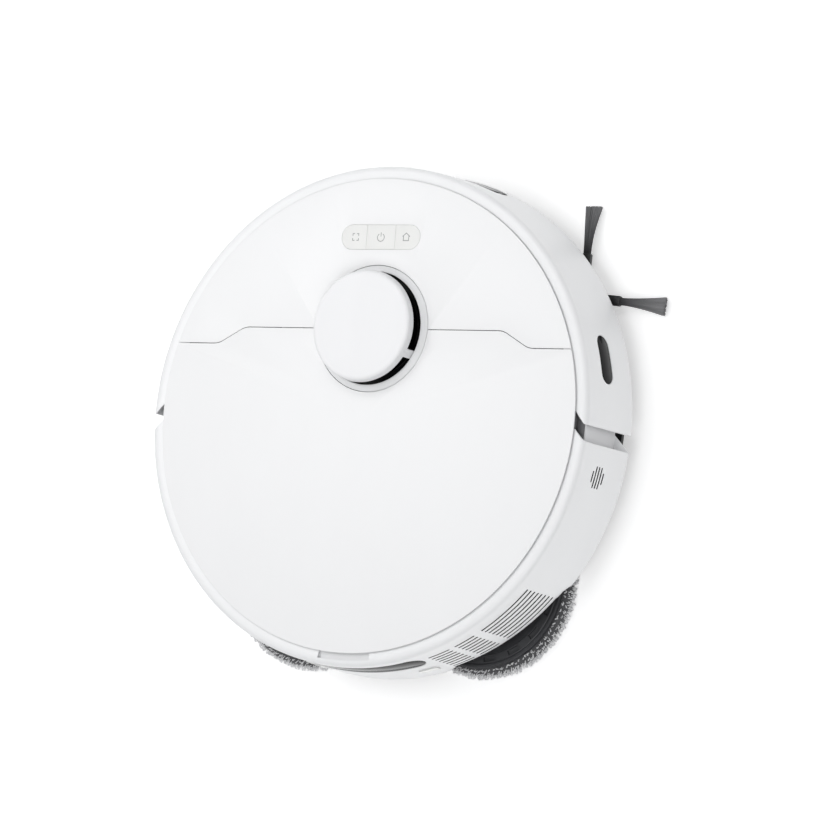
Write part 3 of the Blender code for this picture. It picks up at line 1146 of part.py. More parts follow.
# ---------------------------------------------------------------- dustbin
def dustbin():
    left, right, rear, front = BIN
    low, high = BIN_Z, BIN_Z + BIN_HEIGHT
    wall = BIN_WALL
    outline = rounded((left, rear), (right, front), BIN_CORNER)
    inside = rounded((left + wall, rear + wall), (right - wall, front - wall), BIN_CORNER - wall)
    tub = flat("dustbin", outline, low, high, ON_BIN, part=True)
    cut(tub,
        flat("bin_inside", inside, low + wall, high + MM, ON_BIN),
        box("bin_inlet", (-INLET_HALF, front - 2 * wall, INLET_Z),
            (INLET_HALF, front + MM, INLET_Z + INLET_HEIGHT), ON_BIN),
        box("bin_outlet", (right - 2 * wall, rear + OUTLET_REAR, low + 5 * MM),
            (right + MM, front - OUTLET_FRONT, high - 6 * MM), ON_BIN))
    finish(tub, SMOKE, 0.15)
    lid_low = high + GAP
    lid_top = lid_low + LID
    lid = flat("dustbin_lid", outline, lid_low, lid_top, ON_BIN, part=True)
    (x0, y0), (x1, y1) = GRIP
    join(lid, box("lid_grip", (x0, front + y0, lid_low + LID / 2),
                  (x1, front + y1, lid_top + GRIP_HEIGHT), ON_BIN))
    finish(lid, SMOKE, 0.2)
    face = right - wall - GAP
    dust_filter = box("dust_filter",
                      (face - FILTER_THICK, rear + OUTLET_REAR - FILTER_EDGE, low + wall + MM),
                      (face, front - OUTLET_FRONT + FILTER_EDGE, high - 4 * MM), ON_BIN, part=True)
    finish(dust_filter, WHITE, 0.9)
    (x0, y0), (x1, y1) = LATCH
    latch = flat("dustbin_latch", rounded((x0, rear + y0), (x1, rear + y1), 2 * MM, 2),
                 lid_top + GAP, lid_top + GAP + LATCH_HEIGHT, ON_LATCH, part=True)
    finish(latch, ORANGE, 0.45)


# ---------------------------------------------------------------- fan, water, power, sound
def fan():
    x, y = FAN_XY
    top, room_low = FAN_Z + FAN_HEIGHT, FAN_Z + FAN_FLOOR
    shaft, inlet = FAN_SHAFT_RADIUS, FAN_INLET_RADIUS
    housing = turned("fan_housing", [
        (inlet, top), (FAN_RADIUS - 2 * MM, top), (FAN_RADIUS, top - 2 * MM), (FAN_RADIUS, FAN_Z),
        (shaft + RUN, FAN_Z), (shaft + RUN, room_low), (FAN_RADIUS - WALL, room_low),
        (FAN_RADIUS - WALL, top - WALL), (inlet, top - WALL)],
        (x, y, 0.0), ROBOT, 20, part=True)
    outlet = box("fan_outlet", (0.0, -7 * MM, -5.5 * MM), (30 * MM, 7 * MM, 5.5 * MM), ROBOT)
    outlet.location = Vector((*polar(FAN_RADIUS, EXHAUST_ANGLE, FAN_XY), (room_low + top) / 2))
    outlet.rotation_euler = (0.0, 0.0, math.radians(EXHAUST_ANGLE))
    cut(housing, outlet)
    finish(housing, DARK, 0.5)
    low = room_low + 1.2 * MM
    impeller = rod("fan_impeller", FAN_RADIUS - WALL - 1.2 * MM, (x, y, low), 1.5 * MM, ON_FAN,
                   steps=20, part=True)
    join(impeller,
         rod("impeller_hub", 5 * MM, (x, y, low + 0.5 * MM), 9 * MM, ON_FAN, steps=16,
             end_radius=2.5 * MM),
         rod("impeller_shaft", shaft, (x, y, FAN_Z), low - FAN_Z + MM, ON_FAN, steps=12))
    for index in range(FAN_BLADES):
        bearing = 360.0 * index / FAN_BLADES
        blade = box(f"blade_{index}", (0, 0, 0), (13.5 * MM, 1.2 * MM, 9 * MM), ON_FAN)
        blade.location = Vector((*polar(11.2 * MM, bearing), low + 5.5 * MM - FAN_Z))
        blade.rotation_euler = (0.0, 0.0, math.radians(bearing + 18.0))
        join(impeller, blade)
    finish(impeller, WHITE, 0.5)


def water_tank():
    left, right, rear, front = TANK
    top = TANK_Z + TANK_HEIGHT
    wall = WALL
    outline = rounded((left, rear), (right, front), TANK_CORNER)
    inside = rounded((left + wall, rear + wall), (right - wall, front - wall), TANK_CORNER - wall)
    tank = flat("water_tank", outline, TANK_Z, top, ROBOT, part=True)
    filler = ((left + right) / 2, (rear + front) / 2, top - 2 * wall)
    cut(tank,
        flat("tank_inside", inside, TANK_Z + wall, top - wall, ROBOT),
        rod("tank_filler", TANK_FILLER_RADIUS, filler, 3 * wall, ROBOT, steps=20))
    finish(tank, SMOKE, 0.1)


def battery():
    length, depth, height = BATTERY_SIZE
    low = CHASSIS_TOP_Z + MM
    pack = box("battery", (-length / 2, BATTERY_Y, low), (length / 2, BATTERY_Y + depth, low + height),
               ROBOT, part=True)
    bevel = pack.modifiers.new("edges", "BEVEL")
    bevel.width = 2.5 * MM
    bevel.segments = 2
    finish(pack, WRAP_BLUE, 0.4)


def speaker():
    cone = rod("speaker", SPEAKER_RADIUS, (0.0, 0.0, 0.0), SPEAKER_DEPTH, ROBOT, "X", 24, part=True,
               end_radius=SPEAKER_RADIUS - WALL)
    x, y = polar(FRAME_RADIUS - 10 * MM, SPEAKER_ANGLE)
    cone.location = (x, y, SPEAKER_Z)
    cone.rotation_euler = (0.0, math.pi / 2, math.radians(SPEAKER_ANGLE))
    finish(cone, BLACK, 0.6)


def bumper_springs():
    """Light coils between the frame wall and the inside of the bumper."""
    inside = wall_radius(SPRING_Z) - WALL
    near, far = SPRING_X - SPRING_RADIUS - SPRING_WIRE, SPRING_X + SPRING_RADIUS + SPRING_WIRE
    room = GAP + SPRING_WIRE
    start = math.sqrt((FRAME_RADIUS + FRAME_WALL) ** 2 - near ** 2) + room
    end = math.sqrt(inside ** 2 - far ** 2) - room
    for name, side in (("left", -1), ("right", 1)):
        helix = coil((side * SPRING_X, SPRING_Z), SPRING_RADIUS, 3.5, start, end, "Y")
        spring = wire(name + "_bumper_spring", helix, SPRING_WIRE, ROBOT, part=True)
        finish(spring, STEEL, 0.3, 1.0)


rear_housing()
front_bumper()
top_plates()
buttons()
main_board()
turret()
turret_drive()
chassis_base()
mid_frame()
inner_deck()
main_brush()
suction_head()
side_brush()
drive_wheel("left", -1)
drive_wheel("right", 1)
caster()
mops()
dustbin()
fan()
water_tank()
battery()
speaker()
bumper_springs()
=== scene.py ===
"""Looks of the robot vacuum and mop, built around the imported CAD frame.

Metres, +Z up. X points to the robot's right, Y to its front. Heights named *_H are measured
from the floor, and up() turns them into the frame's z. Bearings are degrees from +X.
"""

import json
from math import atan2, cos, degrees as to_degrees, pi, radians, sin, sqrt
from random import seed, uniform

import bmesh
import bpy
from mathutils import Matrix, Vector


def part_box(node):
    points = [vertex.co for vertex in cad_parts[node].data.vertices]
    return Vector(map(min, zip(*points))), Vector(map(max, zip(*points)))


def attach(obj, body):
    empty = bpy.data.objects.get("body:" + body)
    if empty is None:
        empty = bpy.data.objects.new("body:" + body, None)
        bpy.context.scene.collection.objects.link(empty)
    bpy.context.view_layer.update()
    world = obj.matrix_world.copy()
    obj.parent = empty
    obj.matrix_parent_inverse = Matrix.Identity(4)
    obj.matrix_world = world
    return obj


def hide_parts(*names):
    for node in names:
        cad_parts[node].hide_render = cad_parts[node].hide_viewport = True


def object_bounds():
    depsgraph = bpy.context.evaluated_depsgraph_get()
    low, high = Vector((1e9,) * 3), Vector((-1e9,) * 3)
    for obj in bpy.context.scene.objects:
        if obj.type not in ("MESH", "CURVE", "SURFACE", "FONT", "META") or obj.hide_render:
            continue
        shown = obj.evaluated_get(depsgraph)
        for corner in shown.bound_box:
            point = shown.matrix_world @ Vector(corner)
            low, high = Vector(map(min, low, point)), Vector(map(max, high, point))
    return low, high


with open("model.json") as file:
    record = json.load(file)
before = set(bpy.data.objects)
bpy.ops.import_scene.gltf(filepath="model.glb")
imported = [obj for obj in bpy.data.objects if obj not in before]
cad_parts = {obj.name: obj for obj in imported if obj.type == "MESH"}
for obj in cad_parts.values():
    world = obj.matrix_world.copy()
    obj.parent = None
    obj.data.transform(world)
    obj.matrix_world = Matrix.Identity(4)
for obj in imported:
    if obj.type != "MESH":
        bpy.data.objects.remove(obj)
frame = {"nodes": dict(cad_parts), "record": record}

CAD_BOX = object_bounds()
MM = 0.001
link_object = bpy.context.scene.collection.objects.link

# ------------------------------ places from the frame
FLOOR = CAD_BOX[0].z
BUMPER_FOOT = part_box("front_bumper")[0].z
HOUSING_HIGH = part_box("rear_housing")[1]
PANEL_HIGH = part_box("front_top_panel")[1]
COLLAR_LOW, COLLAR_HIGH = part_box("turret_ring")
CAP_LOW, CAP_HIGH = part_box("lidar_cap")
HEAD_LOW, HEAD_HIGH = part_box("lidar_head")


def middle(node):
    low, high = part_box(node)
    return (low + high) / 2


def half_width(node):
    low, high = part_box(node)
    return (high.x - low.x) / 2


def up(height):
    return FLOOR + height


# ------------------------------ shape constants
BODY_R = HOUSING_HIGH.x  # skirt at its bottom edge
SKIRT_H = BUMPER_FOOT - FLOOR
RING_H = HOUSING_HIGH.z - FLOOR  # flat ring around the top plates
DECK_H = PANEL_HIGH.z - FLOOR
PLATE_R = PANEL_HIGH.y
SHOULDER_R = BODY_R - 2.8 * MM
SHOULDER_H = RING_H - 3.6 * MM
RING_EDGE_R = SHOULDER_R - 3.9 * MM
FLANGE_R = BODY_R - 18.5 * MM
WALL = 2.0 * MM
GAP = 0.3 * MM  # around what fits in an opening
FLANGE = 1.7 * MM
PLATE = 0.9 * MM
KEY = 2.2 * MM
GROOVE_R = PLATE_R + 0.3 * MM  # foot of the sloping groove beside the plates
GROOVE_EDGE_R = PLATE_R + 2.8 * MM
GROOVE = 0.9 * MM
FRAME_OUTER_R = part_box("mid_frame")[1].x
STEPS = 256  # around the body
ROUND = 128  # around turret, wheels and mops

SPLIT_SIDE_Y = 47.3 * MM
SPLIT_MIDDLE_Y = 58.9 * MM
SPLIT_SIDE_X = 122.6 * MM
SPLIT_MIDDLE_X = 102.2 * MM
SPLIT_GAP = 0.5 * MM

# faces of the notch: end on the skirt, end beside the plates, and the diagonal's corners
BUMPER_END = (-2.6 * MM, 6.9 * MM, BODY_R - 13.1 * MM, BODY_R - 4.9 * MM)
HOUSING_END = (-14.2 * MM, -6.1 * MM, BODY_R - 11.8 * MM, BODY_R - 4.3 * MM)
TONGUE_BEARINGS = (-9.0, 4.0)
TONGUE_LOW_H = 27.0 * MM
TONGUE_HIGH_H = 68.0 * MM

FRONT_WINDOW = (70.6 * MM, 25.7 * MM, 50.7 * MM, 10.0 * MM)  # half length, low, high, corner
SIDE_WINDOW = (15.0, 48.7 * MM, 33.7 * MM, 13.6 * MM)  # bearing, height, length, width
REAR_WINDOW = (-90.0, 57.7 * MM, 106.0 * MM, 19.0 * MM)
SPEAKER = (-11.8, 49.9 * MM, 3.2 * MM, 1.4 * MM)  # bearing, height, pitch, slot
VENT_GROUPS = ((-48.3, 14.4), (-60.4, 5.4), (-67.4, 5.6))
VENT_ROWS = 8
VENT_TOP_H = 61.0 * MM
VENT_PITCH = 4.75 * MM
VENT_SLOT = 1.6 * MM
MESH_AND_SHADE_LOW_H = 24 * MM  # dark sheet behind the vents and the speaker, partly the dark mesh behind them and partly painted shade inside the openings
MESH_AND_SHADE_HIGH_H = 65 * MM
MESH_AND_SHADE_BEARINGS = (-73, -60, -45, -35, -20, -9.5)
CONTACT_H = 35.0 * MM
RECESS_R = 167.4 * MM
RECESS_ANGLE = 7.0
RECESS_DEPTH = 3.2 * MM

TURRET_Y = (CAP_LOW.y + CAP_HIGH.y) / 2
PILL_Y = 122.0 * MM
PILL_LENGTH = 62.0 * MM
PILL_WIDTH = 17.0 * MM
KEY_SPLIT_X = 11.3 * MM
KEY_PITCH = 20.0 * MM
KEY_GAP = 0.3 * MM
PILL_GAP = 0.12 * MM


# ------------------------------ node materials
class Nodes:
    """A short way to write a node tree: each call adds a node and returns its output."""

    def __init__(self, name):
        self.material = bpy.data.materials.new(name)
        self.material.use_nodes = True
        self.tree = self.material.node_tree
        self.shader = self.tree.nodes["Principled BSDF"]
        self.place = self.add("TexCoord", {})["Object"]

    def add(self, kind, inputs, **values):
        """A node with its settings, and a socket or a plain value for each input."""
        node = self.tree.nodes.new("ShaderNode" + kind)
        for key, value in values.items():
            setattr(node, key, value)
        for key, value in inputs.items():
            self.link(value, node.inputs[key])
        return node.outputs

    def link(self, value, socket):
        if hasattr(value, "is_output"):
            self.tree.links.new(value, socket)
        else:
            socket.default_value = value

    def noise(self, size, detail=2.0, roughness=0.5, place=None, distortion=0.0):
        return self.add("TexNoise", {"Vector": place or self.place, "Scale": 1.0 / size,
                                     "Detail": detail, "Roughness": roughness,
                                     "Distortion": distortion})["Fac"]

    def cells(self, size):
        return self.add("TexVoronoi", {"Vector": self.place, "Scale": 1.0 / size},
                        feature="SMOOTH_F1")["Distance"]

    def spread(self, value, low, high, start=0.3, end=0.7):
        return self.add("MapRange", {"Value": value, "From Min": start, "From Max": end,
                                     "To Min": low, "To Max": high})["Result"]

    def ramp(self, value, stops):
        node = self.tree.nodes.new("ShaderNodeValToRGB")
        elements = node.color_ramp.elements
        while len(elements) < len(stops):
            elements.new(0.5)
        for element, (place, colour) in zip(elements, stops):
            element.position = place
            element.color = (*colour, 1.0)
        self.link(value, node.inputs["Fac"])
        return node.outputs["Color"]

    def mix(self, share, first, second):
        first, second = [value if hasattr(value, "is_output") else (*value, 1.0)
                         for value in (first, second)]
        return self.add("Mix", {"Factor": share, 6: first, 7: second}, data_type="RGBA")[2]

    def sum(self, first, second, operation="ADD"):
        return self.add("Math", {0: first, 1: second}, operation=operation)[0]

    def stretch(self, scale):
        return self.add("Mapping", {"Vector": self.place, "Scale": scale})["Vector"]

    def bump(self, height, depth, strength=1.0):
        bent = self.add("Bump", {"Strength": strength, "Distance": depth, "Height": height})
        self.link(bent["Normal"], self.shader.inputs["Normal"])

    def set(self, **values):
        for key, value in values.items():
            self.link(value, self.shader.inputs[key.replace("_", " ")])
        return self.material


def shade(colour, factor):
    return tuple(min(1.0, channel * factor) for channel in colour)


def moulded(name, colour, rough, grain, depth, variation):
    """Moulded plastic: eroded grain, faint flow marks and a slightly uneven gloss.

    Grain and depth are in millimetres."""
    tree = Nodes(name)
    flow = tree.noise(38 * MM, 3.0, 0.55, tree.stretch((1.0, 0.35, 1.0)))
    fine = tree.noise(grain * MM, 3.0, 0.6)
    pits = tree.cells(grain * MM * 1.6)
    tree.bump(tree.sum(fine, pits), depth * MM, 0.8)
    tint = tree.mix(tree.spread(flow, 0.0, 1.0), shade(colour, 1.0 - variation),
                    shade(colour, 1.0 + variation))
    gloss = tree.spread(tree.sum(flow, fine, "MULTIPLY"), rough - 0.05, rough + 0.05, 0.1, 0.45)
    return tree.set(Base_Color=tint, Roughness=gloss, IOR=1.48)


def glossy(name, colour, rough=0.06):
    """Polished infrared window: faint waviness and fine hairline haze."""
    tree = Nodes(name)
    wave = tree.noise(22 * MM, 1.0)
    haze = tree.noise(1.2 * MM, 4.0, 0.7, tree.stretch((1.0, 1.0, 6.0)))
    tree.bump(wave, 0.02 * MM, 0.5)
    tint = tree.mix(tree.spread(haze, 0.0, 1.0), colour, shade(colour, 1.6))
    return tree.set(Base_Color=tint, Roughness=tree.spread(haze, rough, rough + 0.06), IOR=1.45,
                    Specular_IOR_Level=0.12)


def metal(name, colour, rough, way=(1.0, 1.0, 30.0)):
    """Drawn or turned metal: fine scratches along one direction."""
    tree = Nodes(name)
    lines = tree.noise(2.5 * MM, 4.0, 0.65, tree.stretch(way))
    stain = tree.noise(9 * MM, 2.0)
    tree.bump(lines, 0.004 * MM, 0.6)
    tint = tree.mix(tree.spread(stain, 0.0, 1.0), shade(colour, 0.9), colour)
    return tree.set(Base_Color=tint, Metallic=1.0, IOR=1.6,
                    Roughness=tree.spread(lines, rough - 0.08, rough + 0.1))


def rubber(name, colour, rough=0.75):
    """Moulded rubber with dust in its grain."""
    tree = Nodes(name)
    grain = tree.noise(0.5 * MM, 4.0, 0.7)
    dust = tree.noise(14 * MM, 4.0, 0.7)
    tree.bump(grain, 0.03 * MM, 0.7)
    tint = tree.mix(tree.spread(dust, 0.0, 0.35, 0.45, 0.75), colour, (0.16, 0.155, 0.15))
    return tree.set(Base_Color=tint, Roughness=tree.spread(grain, rough - 0.08, rough + 0.12), IOR=1.5)


def smoke(name, colour):
    """Translucent tinted polycarbonate."""
    tree = Nodes(name)
    wave = tree.noise(16 * MM, 2.0)
    scuff = tree.noise(1.0 * MM, 4.0, 0.75, tree.stretch((1.0, 5.0, 1.0)))
    tree.bump(wave, 0.03 * MM, 0.4)
    tint = tree.mix(tree.spread(wave, 0.0, 1.0), colour, shade(colour, 1.3))
    return tree.set(Base_Color=tint, Roughness=tree.spread(scuff, 0.08, 0.2), IOR=1.58,
                    Transmission_Weight=0.75)


def fibre(name, colour, lay=0.9 * MM):
    """Looped microfibre yarn: strands painted darker in the dips of their bump and lighter on its crests as
    painted shade, darker patches, soft sheen.
    """
    tree = Nodes(name)
    strand = tree.noise(lay, 4.0, 0.7, distortion=0.6)
    patch = tree.noise(9 * MM, 3.0)
    tree.bump(strand, 0.25 * MM, 0.7)
    # painted shade: the noise that bumps the strands also darkens their dips and lightens their crests
    tint = tree.mix(tree.spread(strand, 0.0, 1.0), shade(colour, 0.72), shade(colour, 1.12))
    tint = tree.mix(tree.spread(patch, 0.0, 0.3), tint, shade(colour, 0.8))
    return tree.set(Base_Color=tint, Roughness=tree.spread(patch, 0.85, 0.98), IOR=1.45,
                    Sheen_Weight=0.35, Sheen_Roughness=0.5)


def board(name):
    """Green circuit board with faint copper tracks under its lacquer."""
    tree = Nodes(name)
    brick = tree.add("TexBrick", {
        "Vector": tree.place, "Scale": 1.0 / (6 * MM), "Mortar Size": 0.03,
        "Color1": (0.02, 0.12, 0.06, 1.0), "Color2": (0.03, 0.15, 0.07, 1.0),
        "Mortar": (0.10, 0.28, 0.12, 1.0)})
    grain = tree.noise(0.8 * MM, 3.0)
    tree.bump(grain, 0.01 * MM, 0.6)
    return tree.set(Base_Color=brick["Color"], Roughness=tree.spread(grain, 0.3, 0.45), IOR=1.5)


def pleated(name, colour, pitch=2.4 * MM):
    """Filter paper folded in pleats, with painted shade darkening the paper where the pleats dip."""
    tree = Nodes(name)
    wave = tree.add("TexWave", {"Vector": tree.place, "Scale": 0.314 / pitch, "Distortion": 0.3},
                    wave_type="BANDS", bands_direction="Y", wave_profile="TRI")["Fac"]
    felt = tree.noise(0.4 * MM, 4.0, 0.7)
    tree.bump(tree.sum(wave, tree.sum(felt, 0.15, "MULTIPLY")), 0.9 * MM, 0.8)
    # painted shade: the wave that raises the pleats darkens their valleys
    tint = tree.mix(wave, shade(colour, 0.75), colour)
    return tree.set(Base_Color=tint, Roughness=tree.spread(felt, 0.85, 0.98), IOR=1.45)


def bristles(name, centre, root, tip):
    """Nylon bristles, darker where they leave the clip at a distance root from the hub's axis."""
    tree = Nodes(name)
    away = tree.add("VectorMath", {0: tree.place, 1: centre}, operation="DISTANCE")["Value"]
    share = tree.spread(away, 0.0, 1.0, root, tip)
    strand = tree.noise(0.6 * MM, 3.0, 0.6)
    share = tree.sum(share, tree.spread(strand, -0.12, 0.12))
    tint = tree.ramp(share, ((0.0, (0.03, 0.03, 0.032)), (0.45, (0.12, 0.12, 0.125)),
                             (1.0, (0.22, 0.22, 0.225))))
    tree.bump(strand, 0.02 * MM, 0.4)
    return tree.set(Base_Color=tint, Roughness=tree.spread(strand, 0.35, 0.5), IOR=1.53)


WHITE = (0.875, 0.878, 0.885)
M = {
    "white_shell": moulded("shell_white", WHITE, 0.42, 0.30, 0.004, 0.008),
    "top_white": moulded("top_white", (0.90, 0.90, 0.905), 0.46, 0.28, 0.003, 0.006),
    "light_grey_plastic": moulded("cap_light_grey", (0.87, 0.87, 0.88), 0.52, 0.32,
                                  0.006, 0.012),
    "mid_grey_plastic": moulded("mid_grey", (0.30, 0.30, 0.31), 0.5, 0.4, 0.012, 0.05),
    "dark_plastic": moulded("dark_plastic", (0.020, 0.020, 0.021), 0.5, 0.5, 0.02,
                            0.12),
    "window_black": glossy("window_black", (0.004, 0.004, 0.0045)),
    "tyre_rubber": rubber("tyre_rubber", (0.018, 0.018, 0.019)),
    "brush_rubber": rubber("brush_rubber", (0.13, 0.14, 0.15), 0.6),
    "bristle": moulded("clip_black", (0.02, 0.02, 0.021), 0.42, 0.4, 0.01, 0.1),
    "belt_rubber": rubber("belt_rubber", (0.012, 0.012, 0.013), 0.7),
    "steel": metal("steel", (0.62, 0.62, 0.63), 0.3),
    "contact_metal": metal("contact_metal", (0.90, 0.90, 0.89), 0.45, (1.0, 1.0, 8.0)),
    "smoke_plastic": smoke("smoke_plastic", (0.25, 0.26, 0.27)),
    "board_green": board("board_green"),
    "mop_fibre": fibre("mop_fibre", (0.88, 0.88, 0.89)),
    "filter_white": pleated("filter_white", (0.82, 0.82, 0.80)),
    "battery_wrap": moulded("battery_wrap", (0.03, 0.05, 0.11), 0.35, 1.5, 0.01, 0.1),
    "latch_orange": moulded("latch_orange", (0.55, 0.14, 0.02), 0.4, 0.4, 0.008, 0.04),
}
PILL_GREY = moulded("pill_grey", (0.83, 0.83, 0.815), 0.5, 0.28, 0.004, 0.008)
ICON_GREY = moulded("icon_grey", (0.33, 0.33, 0.33), 0.55, 0.2, 0.002, 0.03)
SCREW_STEEL = metal("screw_steel", (0.45, 0.45, 0.46), 0.32, (1.0, 1.0, 1.0))
# notch shelf: dark grey as painted shade, for the shadow the shelf sits in under the ring
SHELF_PAINTED_SHADE = moulded("shelf_painted_shade", (0.12, 0.12, 0.125), 0.5, 0.4, 0.012, 0.08)
TONGUE_GREY = moulded("tongue_grey", (0.72, 0.72, 0.73), 0.45, 0.35, 0.006, 0.015)
# near-black cloth under the mop loops: painted shade in the gaps between the loops
PAD_GAP_SHADE = fibre("pad_gap_shade", (0.10, 0.10, 0.105), 0.7 * MM)
HOLDER_DARK = moulded("holder_dark", (0.045, 0.046, 0.05), 0.45, 0.4, 0.012, 0.08)

SLOT_OF = {part["node"]: part["material_slot"] for part in frame["record"]["subparts"]}
for node_name, node in frame["nodes"].items():
    node.data.materials.clear()
    node.data.materials.append(M[SLOT_OF[node_name]])


# ------------------------------ mesh helpers
SMOOTH = 35.0  # degrees; a sharper edge stays an edge


def soften(made, smooth):
    """Smooth shading but for edges sharper than an angle. With none the piece stays flat."""
    if smooth:
        made.data.shade_smooth()
        made.data.set_sharp_from_angle(angle=radians(smooth))
    return made


def to_object(name, shape, material, smooth=SMOOTH):
    mesh = bpy.data.meshes.new(name)
    bmesh.ops.recalc_face_normals(shape, faces=shape.faces)
    shape.to_mesh(mesh)
    shape.free()
    made = bpy.data.objects.new(name, mesh)
    link_object(made)
    mesh.materials.append(material)
    return soften(made, smooth)


def bake_modifiers(made):
    """Apply an object's modifiers to its mesh."""
    view = bpy.context.evaluated_depsgraph_get()
    view.update()
    mesh = bpy.data.meshes.new_from_object(made.evaluated_get(view), depsgraph=view)
    mesh.name = made.name
    old = made.data
    made.modifiers.clear()
    made.data = mesh
    bpy.data.meshes.remove(old)
    return soften(made, SMOOTH)


def combine(made, operation, tools, paint=False):
    """One exact boolean with several tools, applied. Paint gives new faces the tool's material."""
    group = bpy.data.collections.new("tools")
    bpy.context.scene.collection.children.link(group)
    for tool in tools:
        bpy.context.scene.collection.objects.unlink(tool)
        group.objects.link(tool)
    step = made.modifiers.new("step", "BOOLEAN")
    step.operation = operation
    step.solver = "EXACT"
    step.operand_type = "COLLECTION"
    step.material_mode = "TRANSFER" if paint else "INDEX"
    step.collection = group
    bake_modifiers(made)
    for tool in tools:
        bpy.data.meshes.remove(tool.data)
    bpy.data.collections.remove(group)
    return made


def edges_round(made, width, segments=2, angle=60.0):
    step = made.modifiers.new("round", "BEVEL")
    step.width = width
    step.segments = segments
    step.limit_method = "ANGLE"
    step.angle_limit = radians(angle)
    step.use_clamp_overlap = True
    return bake_modifiers(made)


def polar(radius, degrees, centre=(0.0, 0.0)):
    angle = radians(degrees)
    return (centre[0] + radius * cos(angle), centre[1] + radius * sin(angle))


def arc(radius, start, end, steps, centre=(0.0, 0.0)):
    return [polar(radius, start + (end - start) * i / steps, centre) for i in range(steps + 1)]


def capsule(centre, length, width, steps=16):
    reach = (length - width) / 2
    right = arc(width / 2, -90, 90, steps, (centre[0] + reach, centre[1]))
    return right + arc(width / 2, 90, 270, steps, (centre[0] - reach, centre[1]))


def rounded(low, high, radius, steps=6):
    (x0, y0), (x1, y1) = low, high
    points = arc(radius, 0, 90, steps, (x1 - radius, y1 - radius))
    points += arc(radius, 90, 180, steps, (x0 + radius, y1 - radius))
    points += arc(radius, 180, 270, steps, (x0 + radius, y0 + radius))
    return points + arc(radius, 270, 360, steps, (x1 - radius, y0 + radius))


def sector(outer, inner, start, end, steps, centre=(0.0, 0.0)):
    """Outline between two radii, from one bearing to another."""
    return arc(outer, start, end, steps, centre) + arc(inner, end, start, steps, centre)


def near(x, y, *offsets):
    """Points at offsets, in millimetres, from one place."""
    return [(x + dx * MM, y + dy * MM) for dx, dy in offsets]


def bridge(shape, rings, closed=False, caps=False):
    """Faces between each ring of points and the next. A ring of one point is a tip."""
    for ring, after in zip(rings, rings[1:] + rings[:closed]):
        count = max(len(ring), len(after))
        for i in range(count):
            j = (i + 1) % count
            if len(ring) == 1:
                shape.faces.new((ring[0], after[j], after[i]))
            elif len(after) == 1:
                shape.faces.new((ring[i], ring[j], after[0]))
            else:
                shape.faces.new((ring[i], ring[j], after[j], after[i]))
    if caps:
        shape.faces.new(list(reversed(rings[0])))
        shape.faces.new(rings[-1])


def lathe(name, profile, material, steps=ROUND, centre=(0.0, 0.0, 0.0), axis="Z", warp=None):
    """A closed ring profile, or one that starts and ends on the axis, as (radius, run)."""
    shape = bmesh.new()
    rings = []
    for radius, run in profile:
        if radius < 1e-9:
            rings.append([shape.verts.new((0.0, 0.0, run))])
            continue
        ring = []
        for i in range(steps):
            degrees = 360.0 * i / steps
            reach = radius if warp is None else warp(radius, run, degrees)
            ring.append(shape.verts.new((*polar(reach, degrees), run)))
        rings.append(ring)
    bridge(shape, rings, closed=len(rings[0]) > 1)
    place = Matrix.Translation(Vector(centre))
    if axis == "X":
        place = place @ Matrix.Rotation(pi / 2, 4, "Y")
    bmesh.ops.transform(shape, matrix=place, verts=shape.verts)
    return to_object(name, shape, material)


def prism_into(shape, outline, low, high, place=None):
    """A flat outline extruded from low to high, added to a bmesh."""
    ends = [[shape.verts.new((x, y, z)) for x, y in outline] for z in (low, high)]
    bridge(shape, ends, caps=True)
    if place is not None:
        bmesh.ops.transform(shape, matrix=place, verts=ends[0] + ends[1])
    return shape


def prism(name, outline, low, high, material=None, place=None):
    shape = prism_into(bmesh.new(), outline, low, high, place)
    return to_object(name, shape, material or M["dark_plastic"])


def wall_place(degrees):
    """Turns (along the wall, height, out) at a bearing into the robot's frame."""
    sine, cosine = sin(radians(degrees)), cos(radians(degrees))
    return Matrix(((-sine, 0.0, cosine, 0.0), (cosine, 0.0, sine, 0.0), (0.0, 1.0, 0.0, 0.0),
                   (0.0, 0.0, 0.0, 1.0)))


def wall_plug(name, outline, degrees, inner, outer, material=None):
    """A prism through the skirt. Its outline is (along the wall, height above the floor)."""
    lifted = [(x, up(h)) for x, h in outline]
    return prism(name, lifted, inner, outer, material, wall_place(degrees))


def strand_into(shape, points, radius, caps=True):
    """A thin three-sided strand along a list of points."""
    rings = []
    side = None
    for index, point in enumerate(points):
        way = (points[min(index + 1, len(points) - 1)] - points[max(index - 1, 0)]).normalized()
        side = way.orthogonal() if side is None else side - way * side.dot(way)
        side.normalize()
        other = way.cross(side)
        ring = []
        for turn in (0.0, 2 * pi / 3, 4 * pi / 3):
            reach = side * cos(turn) + other * sin(turn)
            ring.append(shape.verts.new(point + reach * radius))
        rings.append(ring)
    bridge(shape, rings, caps=caps)


def install(piece, body, slot, *nodes):
    """Put a finished piece on its body and hide the CAD nodes it stands for. Its slot is not used."""
    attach(piece, body)
    if nodes:
        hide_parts(*nodes)
    return piece


# ------------------------------ body shell
def quarter(radius, height, width, drop, steps):
    """Rounded edge from a flat top down to a wall."""
    return [(radius + width * sin(pi / 2 * i / steps),
             height - drop * (1 - cos(pi / 2 * i / steps))) for i in range(steps + 1)]


